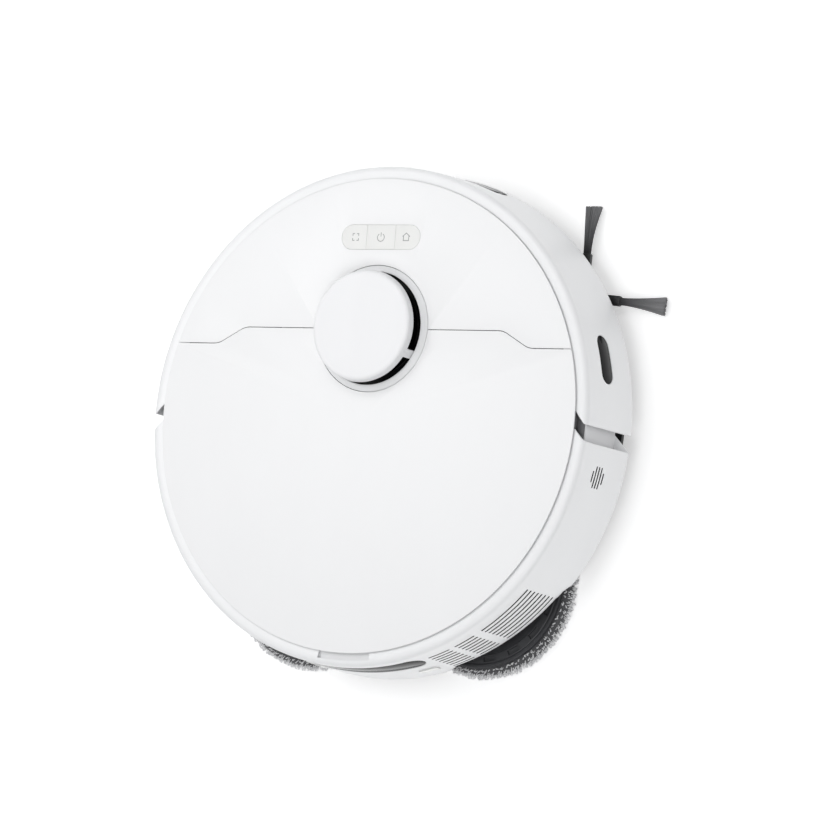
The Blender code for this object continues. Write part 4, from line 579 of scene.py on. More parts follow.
def shell_profile():
    """Cross-section of bumper and rear housing: flange, shoulder and skirt of one thickness."""
    ring, shoulder, skirt = up(RING_H), up(SHOULDER_H), up(SKIRT_H)
    edge = 0.5 * MM
    outer = [(FLANGE_R, ring - GROOVE), (GROOVE_R, ring - GROOVE), (GROOVE_EDGE_R, ring)]
    outer += quarter(RING_EDGE_R, ring, SHOULDER_R - RING_EDGE_R, ring - shoulder, 10)
    slope = (BODY_R - SHOULDER_R) / (shoulder - skirt)
    heights = [shoulder + (skirt - shoulder) * share for share in (0.25, 0.5, 0.72, 0.82, 0.9)]
    outer += [(SHOULDER_R + slope * (shoulder - height), height) for height in heights]
    outer += [(BODY_R - 0.02 * MM, skirt + edge), (BODY_R - 0.12 * MM, skirt + edge * 0.4),
              (BODY_R - edge, skirt)]
    inner = [(BODY_R - WALL + edge, skirt), (BODY_R - WALL, skirt + edge)]
    inner += [(SHOULDER_R - WALL + slope * (shoulder - height), height) for height in reversed(heights)]
    under = quarter(RING_EDGE_R, ring - FLANGE, SHOULDER_R - RING_EDGE_R - WALL,
                    ring - shoulder - FLANGE, 4)
    inner += reversed(under)
    inner.append((FLANGE_R, ring - FLANGE))
    return outer + inner


def notch_side(end, far_y):
    """Prism over one side of a notch's face, which runs diagonally across the flat ring."""
    end_y, inner_y, near, outer = end
    reach = BODY_R + 25 * MM
    return prism("notch_side", [(-reach, far_y), (reach, far_y), (reach, end_y), (outer, end_y),
                                (near, inner_y), (-near, inner_y), (-outer, end_y),
                                (-reach, end_y)], up(0.0), up(DECK_H + 9 * MM),
                 M["white_shell"])


def bumper_pieces():
    shell = lathe("bumper_shell", shell_profile(), M["white_shell"], STEPS)
    behind = notch_side(BUMPER_END, -BODY_R - 25 * MM)
    half, low, high, corner = FRONT_WINDOW
    deep, far = BODY_R - 18 * MM, BODY_R + 6 * MM
    bearing, height, length, width = SIDE_WINDOW
    combine(shell, "DIFFERENCE", [
        behind,
        wall_plug("w1", rounded((-half - GAP, low - GAP), (half + GAP, high + GAP),
                                corner + GAP, 10), 90.0, deep, far),
        wall_plug("w2", capsule((0.0, height), length + 2 * GAP, width + 2 * GAP), bearing,
                  deep, far)])
    edges_round(shell, 0.25 * MM)
    install(shell, "bumper", "white_shell", "front_bumper")
    window("front_glass", rounded((-half, low), (half, high), corner, 10), 90.0, "bumper", "front_window")
    window("side_glass", capsule((0.0, height), length, width), bearing, "bumper", "side_window")


def window(name, outline, bearing, body, node):
    """Dark glass that fills its opening, a hair inside the skirt's outer face."""
    inset = 0.2 * MM
    top, foot = up(SHOULDER_H), up(SKIRT_H)
    ring = [(SHOULDER_R - inset, top), (BODY_R - inset, foot), (BODY_R - WALL, foot),
            (SHOULDER_R - WALL, top)]
    glass = lathe(name, ring, M["window_black"], STEPS)
    combine(glass, "INTERSECT", [wall_plug("plug", outline, bearing, BODY_R - 14 * MM, BODY_R + 5 * MM)])
    edges_round(glass, 0.3 * MM)
    return install(glass, body, "window_black", node)


def arch_warp(radius, run, degrees):
    """The lower edge above each mop curves inward."""
    if run > up(30 * MM):
        return radius
    bearing = degrees - 360.0 if degrees > 180.0 else degrees
    away = min(abs(bearing + 55.0), abs(bearing + 125.0))
    share = max(0.0, min(1.0, (19.0 - away) / 4.0))
    share = share * share * (3 - 2 * share)
    depth = max(0.0, min(1.0, (up(29 * MM) - run) / (11 * MM)))
    return radius - 2.6 * MM * share * depth ** 1.7


def housing_pieces():
    shell = lathe("housing_shell", shell_profile(), M["white_shell"], STEPS, warp=arch_warp)
    ahead = notch_side(HOUSING_END, BODY_R + 25 * MM)
    deep, far = BODY_R - 9 * MM, BODY_R + 6 * MM
    tools = [ahead]
    for side, holder in ((-1, "left_mop_holder"), (1, "right_mop_holder")):
        place = middle(holder)
        reach = half_width(holder) + 1.5 * MM
        tools.append(prism("arch", arc(reach, 0, 360 - 360 / 96, 95, (place.x, place.y)),
                           up(-5 * MM), up(21.0 * MM), M["white_shell"]))
    bearing, height, length, width = REAR_WINDOW
    tools.append(wall_plug("w3", capsule((0.0, height), length + 2 * GAP, width + 2 * GAP),
                           bearing, BODY_R - 30 * MM, far, M["white_shell"]))
    # speaker and vent cutters keep the default dark plastic, so the walls of their slots come out dark:
    # painted shade inside the openings
    bearing, height, pitch, slot = SPEAKER
    for row in range(-2, 3):
        half = 4.0 * MM if abs(row) == 2 else 7.5 * MM
        level = height + row * pitch
        tools.append(wall_plug("s", capsule((0.0, level), 2 * half, slot, 6), bearing, deep, far))
    for bearing, width in VENT_GROUPS:
        half = BODY_R * sin(radians(width / 2))
        for row in range(VENT_ROWS):
            level = VENT_TOP_H - row * VENT_PITCH
            tools.append(wall_plug("v", rounded((-half, level - VENT_SLOT / 2),
                                                (half, level + VENT_SLOT / 2), 0.5 * MM, 3),
                                   bearing, deep, far))
    for node in ("left_charge_contact", "right_charge_contact"):
        low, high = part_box(node)
        bearing = to_degrees(atan2((low + high).y, (low + high).x))
        tools.append(wall_plug("c", rounded((-7.1 * MM, CONTACT_H - 3.6 * MM),
                                            (7.1 * MM, CONTACT_H + 3.6 * MM), 1.3 * MM, 4),
                               bearing, deep, far, M["white_shell"]))
    start, end = -90 - RECESS_ANGLE, -90 + RECESS_ANGLE
    recess = sector(RECESS_R, FLANGE_R - 2 * MM, start, end, 24)
    tools.append(prism("f", recess, up(RING_H - 2 * FLANGE), up(RING_H + 5 * MM), M["white_shell"]))
    # paint gives each cut face its cutter's material: dark painted shade in the speaker and vent slots,
    # white elsewhere
    combine(shell, "DIFFERENCE", tools, paint=True)
    edges_round(shell, 0.2 * MM)
    install(shell, "root", "white_shell", "rear_housing")

    bearing, height, length, width = REAR_WINDOW
    window("rear_glass", capsule((0.0, height), length, width), bearing, "root", "rear_window")

    floor_outline = sector(RECESS_R + WALL / 2, FRAME_OUTER_R + GAP, start - 1, end + 1, 24)
    pocket = prism("recess_floor", floor_outline, up(RING_H - RECESS_DEPTH - WALL),
                   up(RING_H - FLANGE / 2), M["white_shell"])
    room = sector(RECESS_R, FLANGE_R - 3 * MM, start, end, 24)
    combine(pocket, "DIFFERENCE", [prism("r", room, up(RING_H - RECESS_DEPTH), up(RING_H + 5 * MM))])
    install(pocket, "root", "white_shell")

    for side, way in (("right", 1), ("left", -1)):
        notch_pieces(side, way)
    # dark sheet behind the vents and the speaker: partly their dark mesh, partly painted shade inside the
    # openings
    sheet = near(BODY_R, up(MESH_AND_SHADE_LOW_H), (-5.5, 0))
    sheet += near(SHOULDER_R, up(MESH_AND_SHADE_HIGH_H), (-4, 0), (-4.6, 0))
    sheet += near(BODY_R, up(MESH_AND_SHADE_LOW_H), (-6.1, 0))
    mesh_and_shade = lathe("skirt_mesh_and_shade", sheet, M["dark_plastic"], STEPS)
    area = [(0.0, 0.0)] + [polar(0.3, bearing) for bearing in MESH_AND_SHADE_BEARINGS]
    combine(mesh_and_shade, "INTERSECT", [prism("area", area, up(0.0), up(DECK_H))])
    install(mesh_and_shade, "root", "dark_plastic")


def notch_pieces(side, way):
    """Inner wall, shelf and corner gusset that close the notch between bumper and housing."""
    def at(bearing):
        return 90 - way * (90 - bearing)

    inner, outer = FRAME_OUTER_R + 5.5 * MM, SHOULDER_R - WALL - 2.2 * MM
    low, high = up(TONGUE_LOW_H), up(TONGUE_HIGH_H)
    back, front = at(TONGUE_BEARINGS[0]), at(TONGUE_BEARINGS[1])
    tongue = prism(f"{side}_notch_wall", sector(outer, inner, back, front, 10), low, high, TONGUE_GREY)
    edges_round(tongue, 0.6 * MM, 3)
    install(tongue, "root", "light_grey_plastic")
    shelf = sector(outer - WALL / 2, FRAME_OUTER_R + GAP, back, front, 10)
    # the shelf's dark colour is painted shade
    top = prism(f"{side}_notch_shelf", shelf, high, high + 1.2 * MM, SHELF_PAINTED_SHADE)
    edges_round(top, 0.3 * MM)
    install(top, "root", "mid_grey_plastic")
    end_y = HOUSING_END[0]
    near_x, far_x, foot = outer - 0.5 * MM, BODY_R - GAP, up(SKIRT_H)
    corners = [(near_x, end_y + 11 * MM, low), (near_x, end_y - 3 * MM, low),
               (far_x, end_y - 3 * MM, foot), (far_x, end_y, foot)]
    gusset = bmesh.new()
    sides = [[gusset.verts.new((way * (x - depth), y, z - depth * 0.6)) for x, y, z in corners]
             for depth in (0.0, 1.2 * MM)]
    bridge(gusset, sides, caps=True)
    install(to_object(f"{side}_notch_gusset", gusset, M["white_shell"]), "root", "white_shell")


# ------------------------------ top plates and keys
def plate_profile():
    top, foot = up(DECK_H), up(DECK_H - PLATE)
    edge = 0.35 * MM
    bend = [(PLATE_R - edge * inward, top - edge * drop)
            for inward, drop in ((1, 0), (0.62, 0.08), (0.29, 0.29), (0.08, 0.62), (0, 1))]
    return [(0.0, top)] + bend + [(PLATE_R, foot), (0.0, foot)]


def split_outline(shift):
    """Area behind the split line, which steps forward in the middle."""
    side, mid = SPLIT_SIDE_Y + shift, SPLIT_MIDDLE_Y + shift
    reach = BODY_R + 5 * MM
    line = [(reach, side), (SPLIT_SIDE_X, side), (SPLIT_MIDDLE_X, mid), (-SPLIT_MIDDLE_X, mid),
            (-SPLIT_SIDE_X, side), (-reach, side)]
    softened = [line[0]]
    for before, here, after in zip(line, line[1:], line[2:]):
        here, before, after = Vector(here), Vector(before), Vector(after)
        start = here + (before - here).normalized() * 4 * MM
        end = here + (after - here).normalized() * 4 * MM
        for i in range(6):
            t = i / 5
            point = start * (1 - t) ** 2 + here * 2 * t * (1 - t) + end * t ** 2
            softened.append((point.x, point.y))
    softened.append(line[-1])
    return [(-reach, -reach), (reach, -reach)] + softened


def deck_pieces():
    low, high = up(DECK_H - 3 * PLATE), up(DECK_H + PLATE)
    hole_r = half_width("turret_ring") + KEY_GAP
    rear = lathe("rear_cover_plate", plate_profile(), M["top_white"], STEPS)
    combine(rear, "INTERSECT", [prism("area", split_outline(-SPLIT_GAP / 2), low, high)])
    front = lathe("front_panel_plate", plate_profile(), M["top_white"], STEPS)
    hole = arc(hole_r, 0, 360 - 360 / 160, 159, (0.0, TURRET_Y))
    pill = capsule((0.0, PILL_Y), PILL_LENGTH + 2 * PILL_GAP, PILL_WIDTH + 2 * PILL_GAP, 24)
    combine(front, "DIFFERENCE", [prism("area", split_outline(SPLIT_GAP / 2), low, high),
                                  prism("hole", hole, low, high), prism("pill", pill, low, high)])
    combine(rear, "DIFFERENCE", [prism("hole", hole, low, high)])
    for plate, body, node in ((rear, "cover", "rear_top_cover"), (front, "root", "front_top_panel")):
        edges_round(plate, 0.22 * MM, 2, 62.0)
        install(plate, body, "top_white", node)


def icon_object(name, strokes, body, width=0.5 * MM):
    """Flat inlaid line icon, a hair above the key, from lists of points."""
    shape = bmesh.new()
    low, high = up(DECK_H - 0.05 * MM), up(DECK_H + 0.06 * MM)
    for points in strokes:
        count = len(points)
        left, right = [], []
        for index in range(count):
            here = Vector(points[index])
            before = Vector(points[max(index - 1, 0)])
            after = Vector(points[min(index + 1, count - 1)])
            into, out = (here - before), (after - here)
            into = into.normalized() if into.length > 0 else out.normalized()
            out = out.normalized() if out.length > 0 else into
            way = (into + out).normalized()
            side = Vector((-way.y, way.x)) * width / 2 / max(0.5, way.dot(into))
            left.append(tuple(here + side))
            right.append(tuple(here - side))
        prism_into(shape, left + list(reversed(right)), low, high)
    return install(to_object(name, shape, ICON_GREY), body, "mid_grey_plastic")


def key_pieces():
    low, high = up(DECK_H - KEY), up(DECK_H)
    for name, node, index in (("spot", "spot_button", -1), ("power", "power_button", 0),
                              ("home", "home_button", 1)):
        key = prism(name + "_key_cap", capsule((0.0, PILL_Y), PILL_LENGTH, PILL_WIDTH, 24), low,
                    high, PILL_GREY)
        x0 = -PILL_LENGTH if index < 0 else (2 * index - 1) * KEY_SPLIT_X + PILL_GAP / 2
        x1 = PILL_LENGTH if index > 0 else (2 * index + 1) * KEY_SPLIT_X - PILL_GAP / 2
        share = [(x0, 0.0), (x1, 0.0), (x1, 0.2), (x0, 0.2)]
        combine(key, "INTERSECT", [prism("share", share, low - KEY, high + KEY)])
        edges_round(key, 0.2 * MM, 3, 55.0)
        pin = near(0.0, low, (0, 0.2), (2, 0.2)) + near(0.0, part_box(node)[0].z, (2, 0), (0, 0))
        stem = lathe(name + "_key_stem", pin, PILL_GREY, 32, (index * KEY_PITCH, PILL_Y, 0.0))
        install(key, name + "_key", "top_white", node)
        install(stem, name + "_key", "top_white")
    half, leg = 2.3 * MM, 1.5
    corners = [near(-KEY_PITCH + right * half, PILL_Y + ahead * half,
                    (-right * leg, 0), (0, 0), (0, -ahead * leg))
               for right in (-1, 1) for ahead in (-1, 1)]
    icon_object("spot_icon", corners, "spot_key")
    icon_object("power_icon", [arc(2.7 * MM, 122, 418, 28, (0.0, PILL_Y - 0.2 * MM)),
                               near(0.0, PILL_Y, (0, 0.4), (0, 3.2))], "power_key")
    icon_object("home_icon", [
        near(KEY_PITCH, PILL_Y, (-2.9, 0.5), (0, 2.9), (2.9, 0.5)),
        near(KEY_PITCH, PILL_Y, (-2.1, 0.9), (-2.1, -2.3), (2.1, -2.3), (2.1, 0.9))], "home_key")


# ------------------------------ laser turret
def turret_pieces():
    centre = (0.0, TURRET_Y, 0.0)
    collar_r = half_width("turret_ring")
    slot, foot = COLLAR_HIGH.z, COLLAR_LOW.z
    deck = up(DECK_H)
    neck = collar_r - 3.8 * MM
    throat = half_width("lidar_cap") + 0.4 * MM
    profile = [(throat, foot)] + near(throat, slot, (0, -0.3), (0.2, 0))
    profile += near(neck, slot, (0, 0), (0.5, -0.2))
    profile += near(neck, deck, (1.6, 1.25), (2.5, 0.75), (3.3, 0.3))
    profile += near(collar_r, deck, (-0.1, -0.15), (0, -0.6)) + [(collar_r, foot)]
    install(lathe("turret_collar", profile, M["white_shell"], ROUND, centre), "root",
            "light_grey_plastic", "turret_ring")

    cap_r = half_width("lidar_cap")
    top = CAP_HIGH.z
    skirt = up(87.0 * MM)
    flat = cap_r - 3.6 * MM
    wall = 2.0 * MM
    dome = [(0.0, top), (flat, top)]
    for i in range(1, 9):
        angle = pi / 2 * i / 8
        dome.append((flat + 3.0 * MM * sin(angle), top - 2.4 * MM * (1 - cos(angle))))
    dome += near(cap_r, skirt, (0, 0.5), (-0.12, 0.15), (-0.5, 0))
    dome += [(cap_r - wall, skirt), (flat - 0.6 * MM, top - wall), (0.0, top - wall)]
    cap = lathe("turret_cap_shell", dome, M["light_grey_plastic"], ROUND, centre)
    install(cap, "turret_cap", "light_grey_plastic", "lidar_cap")
    rib_low = CAP_LOW.z
    for index, bearing in enumerate((-28.0, 90.0, 208.0)):
        half = to_degrees(3.0 * MM / cap_r)
        outline = sector(cap_r - 0.1 * MM, cap_r - wall, bearing - half, bearing + half, 6, (0.0, TURRET_Y))
        rib = prism(f"turret_rib_{index}", outline, rib_low, skirt + 0.8 * MM, M["light_grey_plastic"])
        install(rib, "turret_cap", "light_grey_plastic")

    reach = half_width("lidar_head")
    high, low = HEAD_HIGH.z, HEAD_LOW.z
    profile = [(0.0, high)] + near(reach, high, (-1.5, 0), (-0.4, -0.4), (0, -1.5))
    profile += near(reach, FLOOR, (0, 72.8), (-3, 71.3)) + [(reach - 3 * MM, low), (0.0, low)]
    head = lathe("laser_head_core", profile, M["window_black"], ROUND, centre)
    ports = []
    for x, size in ((-12.0 * MM, 5.0 * MM), (11.0 * MM, 6.0 * MM)):
        outline = arc(size / 2, 0, 345, 23, (x, up(80.8 * MM)))
        place = Matrix.Translation((0.0, TURRET_Y - reach + 9 * MM, 0.0)) @ Matrix.Rotation(pi / 2, 4, "X")
        ports.append(prism("port", outline, 0.0, 14 * MM, place=place))
    combine(head, "DIFFERENCE", ports)
    install(head, "laser_head", "window_black", "lidar_head")


# ------------------------------ side brush
BRISTLES = 420  # in each arm's tuft


def side_brush_pieces():
    motor = middle("side_brush_motor")
    x, y = motor.x, motor.y
    hub_low, hub_high = up(5.5 * MM), up(11.6 * MM)
    shaft = up(15 * MM)
    profile = near(0.0, shaft, (0, 0), (3, 0)) + near(0.0, hub_high, (3, 0), (8.6, 0), (9, -0.5))
    profile += near(0.0, hub_low, (9, 1.2), (8.4, 0.3), (7.2, 0), (2.6, 0), (2.2, 0.8), (0, 0.8))
    hub = lathe("side_brush_hub", profile, M["bristle"], 64, (x, y, 0.0))
    install(hub, "corner_brush", "bristle", "side_brush")
    nylon = bristles("bristle_nylon", (x, y, up(6 * MM)), 28 * MM, 62 * MM)
    seed(11)
    tuft = bmesh.new()
    for index, bearing in enumerate((89.0, -5.0)):
        turn = Matrix.Translation((x, y, 0.0)) @ Matrix.Rotation(radians(bearing), 4, "Z")
        arm = bmesh.new()
        outline = near(0.0, 0.0, (6, -3.6), (16, -3.4), (29, -3.5), (30, -2.9), (30, 2.9),
                       (29, 3.5), (16, 3.4), (6, 3.6))
        prism_into(arm, outline, up(6.0 * MM), up(10.0 * MM), turn)
        clip = to_object(f"side_brush_clip_{index}", arm, M["bristle"])
        edges_round(clip, 0.7 * MM, 3, 50.0)
        install(clip, "corner_brush", "bristle")
        for strand in range(BRISTLES):
            spread = uniform(-1.0, 1.0)
            start = Vector((28 * MM, spread * 2.3 * MM, up(uniform(6.6, 9.2) * MM)))
            tip = Vector((uniform(62.0, 63.2) * MM,
                          spread * 6.2 * MM + uniform(-0.3, 0.3) * MM,
                          up(uniform(3.4, 6.6) * MM)))
            points = []
            for step in range(6):
                t = step / 5
                point = start.lerp(tip, t)
                point.y = start.y + (tip.y - start.y) * t ** 1.7
                point.z += 1.2 * MM * sin(pi * t)
                points.append(turn @ point)
            strand_into(tuft, points, 0.16 * MM)
    install(to_object("side_brush_nylon", tuft, nylon, 60.0), "corner_brush", "bristle",
            "side_brush_bristles")


# ------------------------------ mops
EDGE_LOOPS = 150  # in each of a pad's rows


def loop_into(shape, base, out, side, height, width, thick):
    """One yarn loop that leaves the cloth along out and comes back beside itself."""
    points = []
    for step in range(6):
        angle = pi * step / 5
        point = base + side * (width / 2 * cos(angle))
        point += out * (height * sin(angle) - 0.3 * thick)
        point.z = max(point.z, FLOOR + thick / 2)
        points.append(point)
    strand_into(shape, points, thick / 2, caps=False)


def mop_pieces(side):
    low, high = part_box(side + "_mop_pad")
    centre = (low + high) / 2
    radius = (high.x - low.x) / 2
    body = side + "_mop"
    top, foot = high.z, low.z
    x, y = centre.x, centre.y
    edge = radius - 1.8 * MM
    cloth = [(0.0, top)]
    cloth += near(edge, top, (-6, 0), (-3, -0.5), (-1.2, -1.6), (-0.2, -3.4), (0, -5), (-0.5, -6.8))
    cloth += near(edge, foot, (-1.8, 1.8), (-4, 1.3), (-20, 1)) + near(0.0, foot, (0, 1))
    # the core's near-black cloth is painted shade between the loops
    core = lathe(side + "_mop_cloth", cloth, PAD_GAP_SHADE, 96, (x, y, 0.0))
    shape = bmesh.new()
    seed(5 if side == "left" else 6)
    rows = near(edge, top, (-3.2, -0.9), (-1.2, -2.2), (-0.2, -3.8), (0, -5.2), (-0.6, -6.8))
    rows += near(edge, foot, (-2, 1.6))
    for (reach, height), lean in zip(rows, (60.0, 35.0, 12.0, -5.0, -25.0, -55.0)):
        for index in range(EDGE_LOOPS):
            degrees = 360.0 * (index + uniform(-0.4, 0.4)) / EDGE_LOOPS
            angle = radians(degrees)
            out = Vector((cos(angle), sin(angle), 0.0))
            along = Vector((-sin(angle), cos(angle), 0.0))
            tilt = radians(lean + uniform(-22, 22))
            way = out * cos(tilt) + Vector((0.0, 0.0, sin(tilt)))
            twist = uniform(-0.9, 0.9)
            across = way.cross(along)
            sideways = along * cos(twist) + across * sin(twist)
            base = Vector((x, y, height)) + out * (reach - 0.3 * MM)
            base.z += uniform(-0.5, 0.5) * MM
            loop_into(shape, base, way, sideways, uniform(2.0, 3.9) * MM,
                      uniform(1.2, 1.9) * MM, uniform(0.7, 1.0) * MM)
    spacing = 2.7 * MM
    ring = spacing
    while ring < edge - 4.5 * MM:
        count = int(2 * pi * ring / spacing)
        for index in range(count):
            angle = 2 * pi * (index + uniform(-0.3, 0.3)) / count
            base = Vector((x + ring * cos(angle), y + ring * sin(angle), foot + 1.15 * MM))
            turn = uniform(0, 2 * pi)
            sideways = Vector((cos(turn), sin(turn), 0.0))
            lean = Vector((uniform(-0.4, 0.4), uniform(-0.4, 0.4), -1.0))
            loop_into(shape, base, lean.normalized(), sideways, uniform(0.9, 1.1) * MM,
                      uniform(1.3, 2.0) * MM, uniform(0.6, 0.8) * MM)
        ring += spacing
    pile = to_object(side + "_mop_pile", shape, M["mop_fibre"], 80.0)
    install(core, body, "mop_fibre", side + "_mop_pad")
    install(pile, body, "mop_fibre")

    low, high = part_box(side + "_mop_holder")
    rim = half_width(side + "_mop_holder")
    plate = high.z - 5.0 * MM
    deep = plate - 0.8 * MM
    profile = near(0.0, high.z, (0, 0), (11.6, 0), (12.2, -0.5))
    profile += near(0.0, deep, (13.6, 0.8), (14.6, 0))
    profile += near(rim, deep, (-9, 0), (-8.4, 0.5), (-3.6, 0.5), (-3, 0))
    profile += near(rim, plate, (-2.4, -0.2), (-1.9, 0), (-0.4, 0), (0, -0.4))
    profile += [(rim, low.z), (0.0, low.z)]
    holder = lathe(side + "_mop_plate", profile, HOLDER_DARK, ROUND, (x, y, 0.0))
    slots = []
    for index in range(18):
        bearing = index * 20.0
        outline = sector(rim - 4.2 * MM, rim - 7.6 * MM, bearing - 4.5, bearing + 4.5, 4, (x, y))
        slots.append(prism("slot", outline, deep - 1.2 * MM, deep + 5 * MM))
    for index in range(6):
        bearing = index * 60.0 + 10.0
        outline = arc(rim - 13 * MM, bearing - 20, bearing + 20, 6, (x, y))
        outline += arc(rim - 38 * MM, bearing + 12, bearing - 12, 6, (x, y))
        slots.append(prism("window", outline, deep - 0.7 * MM, deep + 5 * MM))
    combine(holder, "DIFFERENCE", slots)
    edges_round(holder, 0.2 * MM, 2, 55.0)
    install(holder, body, "mid_grey_plastic", side + "_mop_holder")


# ------------------------------ wheels and brushes
def tyre_shape(centre, radius, rim, half):
    """Tyre with staggered lugs that wrap over its shoulders."""
    shape = bmesh.new()
    steps, rows, seam = 144, 17, 0.12

    def circle(across, reaches):
        ring = []
        for i, reach in enumerate(reaches):
            angle = 2 * pi * i / steps
            ring.append(shape.verts.new((across * half, reach * cos(angle), reach * sin(angle))))
        return ring

    rings = [circle(-1.0, [rim] * steps)]
    for row in range(rows):
        across = -1.0 + 2.0 * row / (rows - 1)
        reaches = []
        for i in range(steps):
            lug = (i + (4 if across > 0 else 0) + int(abs(across) * 3)) % 8
            groove = 1.3 * MM if lug < 3 else 0.0
            groove = 1.6 * MM if abs(across) <= seam else groove
            reaches.append(radius - 1.4 * MM * across ** 4 - groove)
        rings.append(circle(across, reaches))
    rings.append(circle(1.0, [rim] * steps))
    bridge(shape, rings, closed=True)
    bmesh.ops.transform(shape, matrix=Matrix.Translation(centre), verts=shape.verts)
    return shape


def wheel_pieces(side):
    low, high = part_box(side + "_tyre")
    centre = (low + high) / 2
    radius, half = (high.z - low.z) / 2, (high.x - low.x) / 2
    rim = radius - 5.0 * MM
    tyre = to_object(side + "_tread", tyre_shape(centre, radius, rim, half), M["tyre_rubber"], 30)
    install(tyre, side + "_wheel", "tyre_rubber", side + "_tyre")
    out = 1.0 if side == "right" else -1.0
    face = half - 2 * MM
    profile = near(0.0, face, (0, -0.5), (6.5, -0.5), (7, 0), (9, 0), (10, -0.7), (12, -3))
    profile += near(rim, face, (-6, -3), (-5, -2.5), (-2.5, -0.4), (-0.5, 0), (-0.3, -0.4))
    profile += near(rim, -face, (-0.3, 0)) + near(0.0, -face, (10, 0), (4, 0), (4, -5), (0, -5))
    hub = lathe(side + "_rim", [(r, out * run) for r, run in profile], M["mid_grey_plastic"],
                ROUND, tuple(centre), "X")
    install(hub, side + "_wheel", "mid_grey_plastic", side + "_wheel_hub")
    spokes = bmesh.new()
    for index in range(6):
        turn = Matrix.Translation(centre) @ Matrix.Rotation(index * pi / 3, 4, "X")
        outline = near(0.0, 0.0, (-1.4, 10), (1.4, 10)) + near(0.0, rim, (1.1, -4.5), (-1.1, -4.5))
        start, end = sorted((out * (face - 3.4 * MM), out * (face - 1.2 * MM)))
        stand = Matrix.Rotation(pi / 2, 4, "Y")
        prism_into(spokes, outline, start, end, turn @ stand)
    ribs = to_object(side + "_rim_spokes", spokes, M["mid_grey_plastic"])
    install(ribs, side + "_wheel", "mid_grey_plastic")


def main_brush_pieces():
    low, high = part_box("main_brush")
    centre = (low + high) / 2
    radius = (high.z - low.z) / 2
    half, core = 78.0 * MM, 13.0 * MM
    stations, fins, sweep = 64, 5, 50.0
    rise = [(core, 22.0), (core + 0.4 * MM, 12.0), (core + 2.2 * MM, 6.5),
            (radius - 0.5 * MM, 3.2), (radius, 1.6)]
    fin_outline = [(reach, -offset) for reach, offset in rise] + rise[::-1]
    shape = bmesh.new()
    rings = []
    for i in range(stations + 1):
        along = -half + 2 * half * i / stations
        turn = sweep * (1 - sqrt(along ** 2 + (3 * MM) ** 2) / half)
        ring = []
        for fin in range(fins):
            for reach, offset in fin_outline:
                a, b = polar(reach, 360.0 / fins * fin + turn + offset)
                ring.append(shape.verts.new((along, a, b)))
        rings.append(ring)
    bridge(shape, rings, caps=True)
    bmesh.ops.transform(shape, matrix=Matrix.Translation(centre), verts=shape.verts)
    brush = to_object("roller_fins", shape, M["brush_rubber"], 40)
    install(brush, "roller", "brush_rubber", "main_brush")
    profile = near(0.0, (high.x - low.x) / 2, (0, 0), (2.6, 0), (3, -0.4))
    profile += near(0.0, half, (3, 0.8), (12, 0.6), (12.6, 0), (12.6, -1), (0, -1))
    for name, sign in (("left", -1), ("right", 1)):
        cap = lathe(f"roller_{name}_end", [(reach, sign * run) for reach, run in profile],
                    M["dark_plastic"], 64, tuple(centre), "X")
        install(cap, "roller", "brush_rubber")


# ------------------------------ underside details
SCREW_R = 2.6 * MM


def screw_shape(shape, x, y, z):
    """Pan head facing down."""
    steps = 24
    rings = []
    for share, rise in ((1, 0.0), (0.98, 0.35), (0.82, 0.75), (0.5, 0.95), (0.16, 1.0)):
        rings.append([shape.verts.new((*polar(SCREW_R * share, 360 * i / steps, (x, y)),
                                       z - rise * MM)) for i in range(steps)])
    bridge(shape, rings, caps=True)


def underside_pieces():
    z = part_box("chassis_base")[0].z
    heads = bmesh.new()
    for bearing in (20, 62, 118, 160, 200, 250, 290, 340):
        x, y = polar(153 * MM, bearing)
        screw_shape(heads, x, y, z + 0.1 * MM)
    for x, y in ((-60, 92), (60, 92), (-30, -30), (30, -30), (0, -80)):
        screw_shape(heads, x * MM, y * MM, z + 0.1 * MM)
    install(to_object("underside_screws", heads, SCREW_STEEL, 50), "root", "steel")
    lenses = bmesh.new()
    for bearing in (50, 130, -6, 186):
        x, y = polar(154 * MM, bearing)
        prism_into(lenses, rounded((x - 5.6 * MM, y - 2.6 * MM), (x + 5.6 * MM, y + 2.6 * MM),
                                   1.0 * MM, 4), z + 0.5 * MM, z + 1.4 * MM)
    glass = to_object("cliff_lenses", lenses, M["window_black"])
    install(glass, "root", "window_black")


# ------------------------------ stage
FLOOR_GLOW = 0.48
WORLD_STRENGTH = 0.35
LAMPS = (  # name, place, target, diameter, watts
    ("rear_key", (0.7, -1.2, 2.2), (0, 0, 0), 1.2, 16),
    ("front_fill", (0.6, 1.3, 2.2), (0, 0, 0), 1.2, 7),
    ("overhead", (-0.4, 0.2, 3.0), (0, 0, 0), 1.6, 9),
    ("near", (-0.25, 0.2, 0.8), (-0.08, 0.05, 0), 0.6, 2.2))


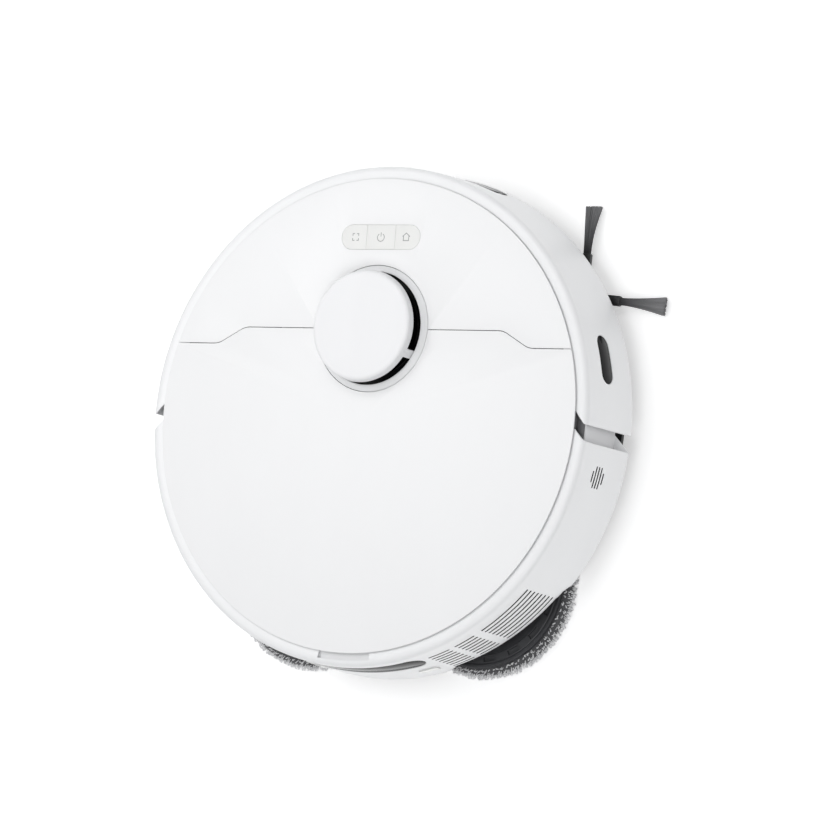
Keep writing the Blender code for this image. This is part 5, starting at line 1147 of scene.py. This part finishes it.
def stage():
    shape = bmesh.new()
    size = 4.0
    for x, y in ((-size, -size), (size, -size), (size, size), (-size, size)):
        shape.verts.new((x, y, FLOOR - 0.2 * MM))
    shape.faces.new(shape.verts)
    tree = Nodes("studio_floor")
    grain = tree.noise(0.25, 3.0)
    tint = tree.mix(tree.spread(grain, 0.0, 1.0), (0.80, 0.80, 0.80), (0.82, 0.82, 0.82))
    made = tree.set(Base_Color=tint, Roughness=0.9, Emission_Color=(1.0, 1.0, 1.0, 1.0),
                    Emission_Strength=FLOOR_GLOW)
    to_object("studio_floor", shape, made, 0)

    world = bpy.data.worlds.new("studio")
    bpy.context.scene.world = world
    world.use_nodes = True
    world.node_tree.nodes["Background"].inputs["Color"].default_value = (0.97, 0.985, 1.0, 1.0)
    world.node_tree.nodes["Background"].inputs["Strength"].default_value = WORLD_STRENGTH
    for name, place, target, size, power in LAMPS:
        light = bpy.data.lights.new(name, "AREA")
        light.shape = "DISK"
        light.size = size
        light.energy = power
        lamp = bpy.data.objects.new(name, light)
        link_object(lamp)
        lamp.location = place
        way = Vector(target) - Vector(place)
        lamp.rotation_euler = way.to_track_quat("-Z", "Y").to_euler()


LENS = 243.98  # millimetres, for a 36 mm sensor
CAMERA_PLACE = (1.966, -0.4243, 3.2927)
CAMERA_RIGHT = (0.86033, 0.09029, -0.50169)
CAMERA_UP = (-0.02061, 0.98955, 0.14274)


def camera():
    made = bpy.data.objects.new("camera", bpy.data.cameras.new("camera"))
    link_object(made)
    made.data.sensor_width = 36.0
    made.data.lens = LENS
    made.data.clip_start = 0.05
    made.data.clip_end = 50.0
    right, upward = Vector(CAMERA_RIGHT), Vector(CAMERA_UP)
    place = Matrix((right, upward, right.cross(upward))).transposed().to_4x4()
    place.translation = Vector(CAMERA_PLACE)
    made.matrix_world = place
    bpy.context.scene.camera = made


camera()
stage()
bumper_pieces()
housing_pieces()
deck_pieces()
key_pieces()
turret_pieces()
side_brush_pieces()
for side in ("left", "right"):
    mop_pieces(side)
for side in ("left", "right"):
    wheel_pieces(side)
main_brush_pieces()
underside_pieces()
bpy.context.scene.view_settings.view_transform = "Standard"
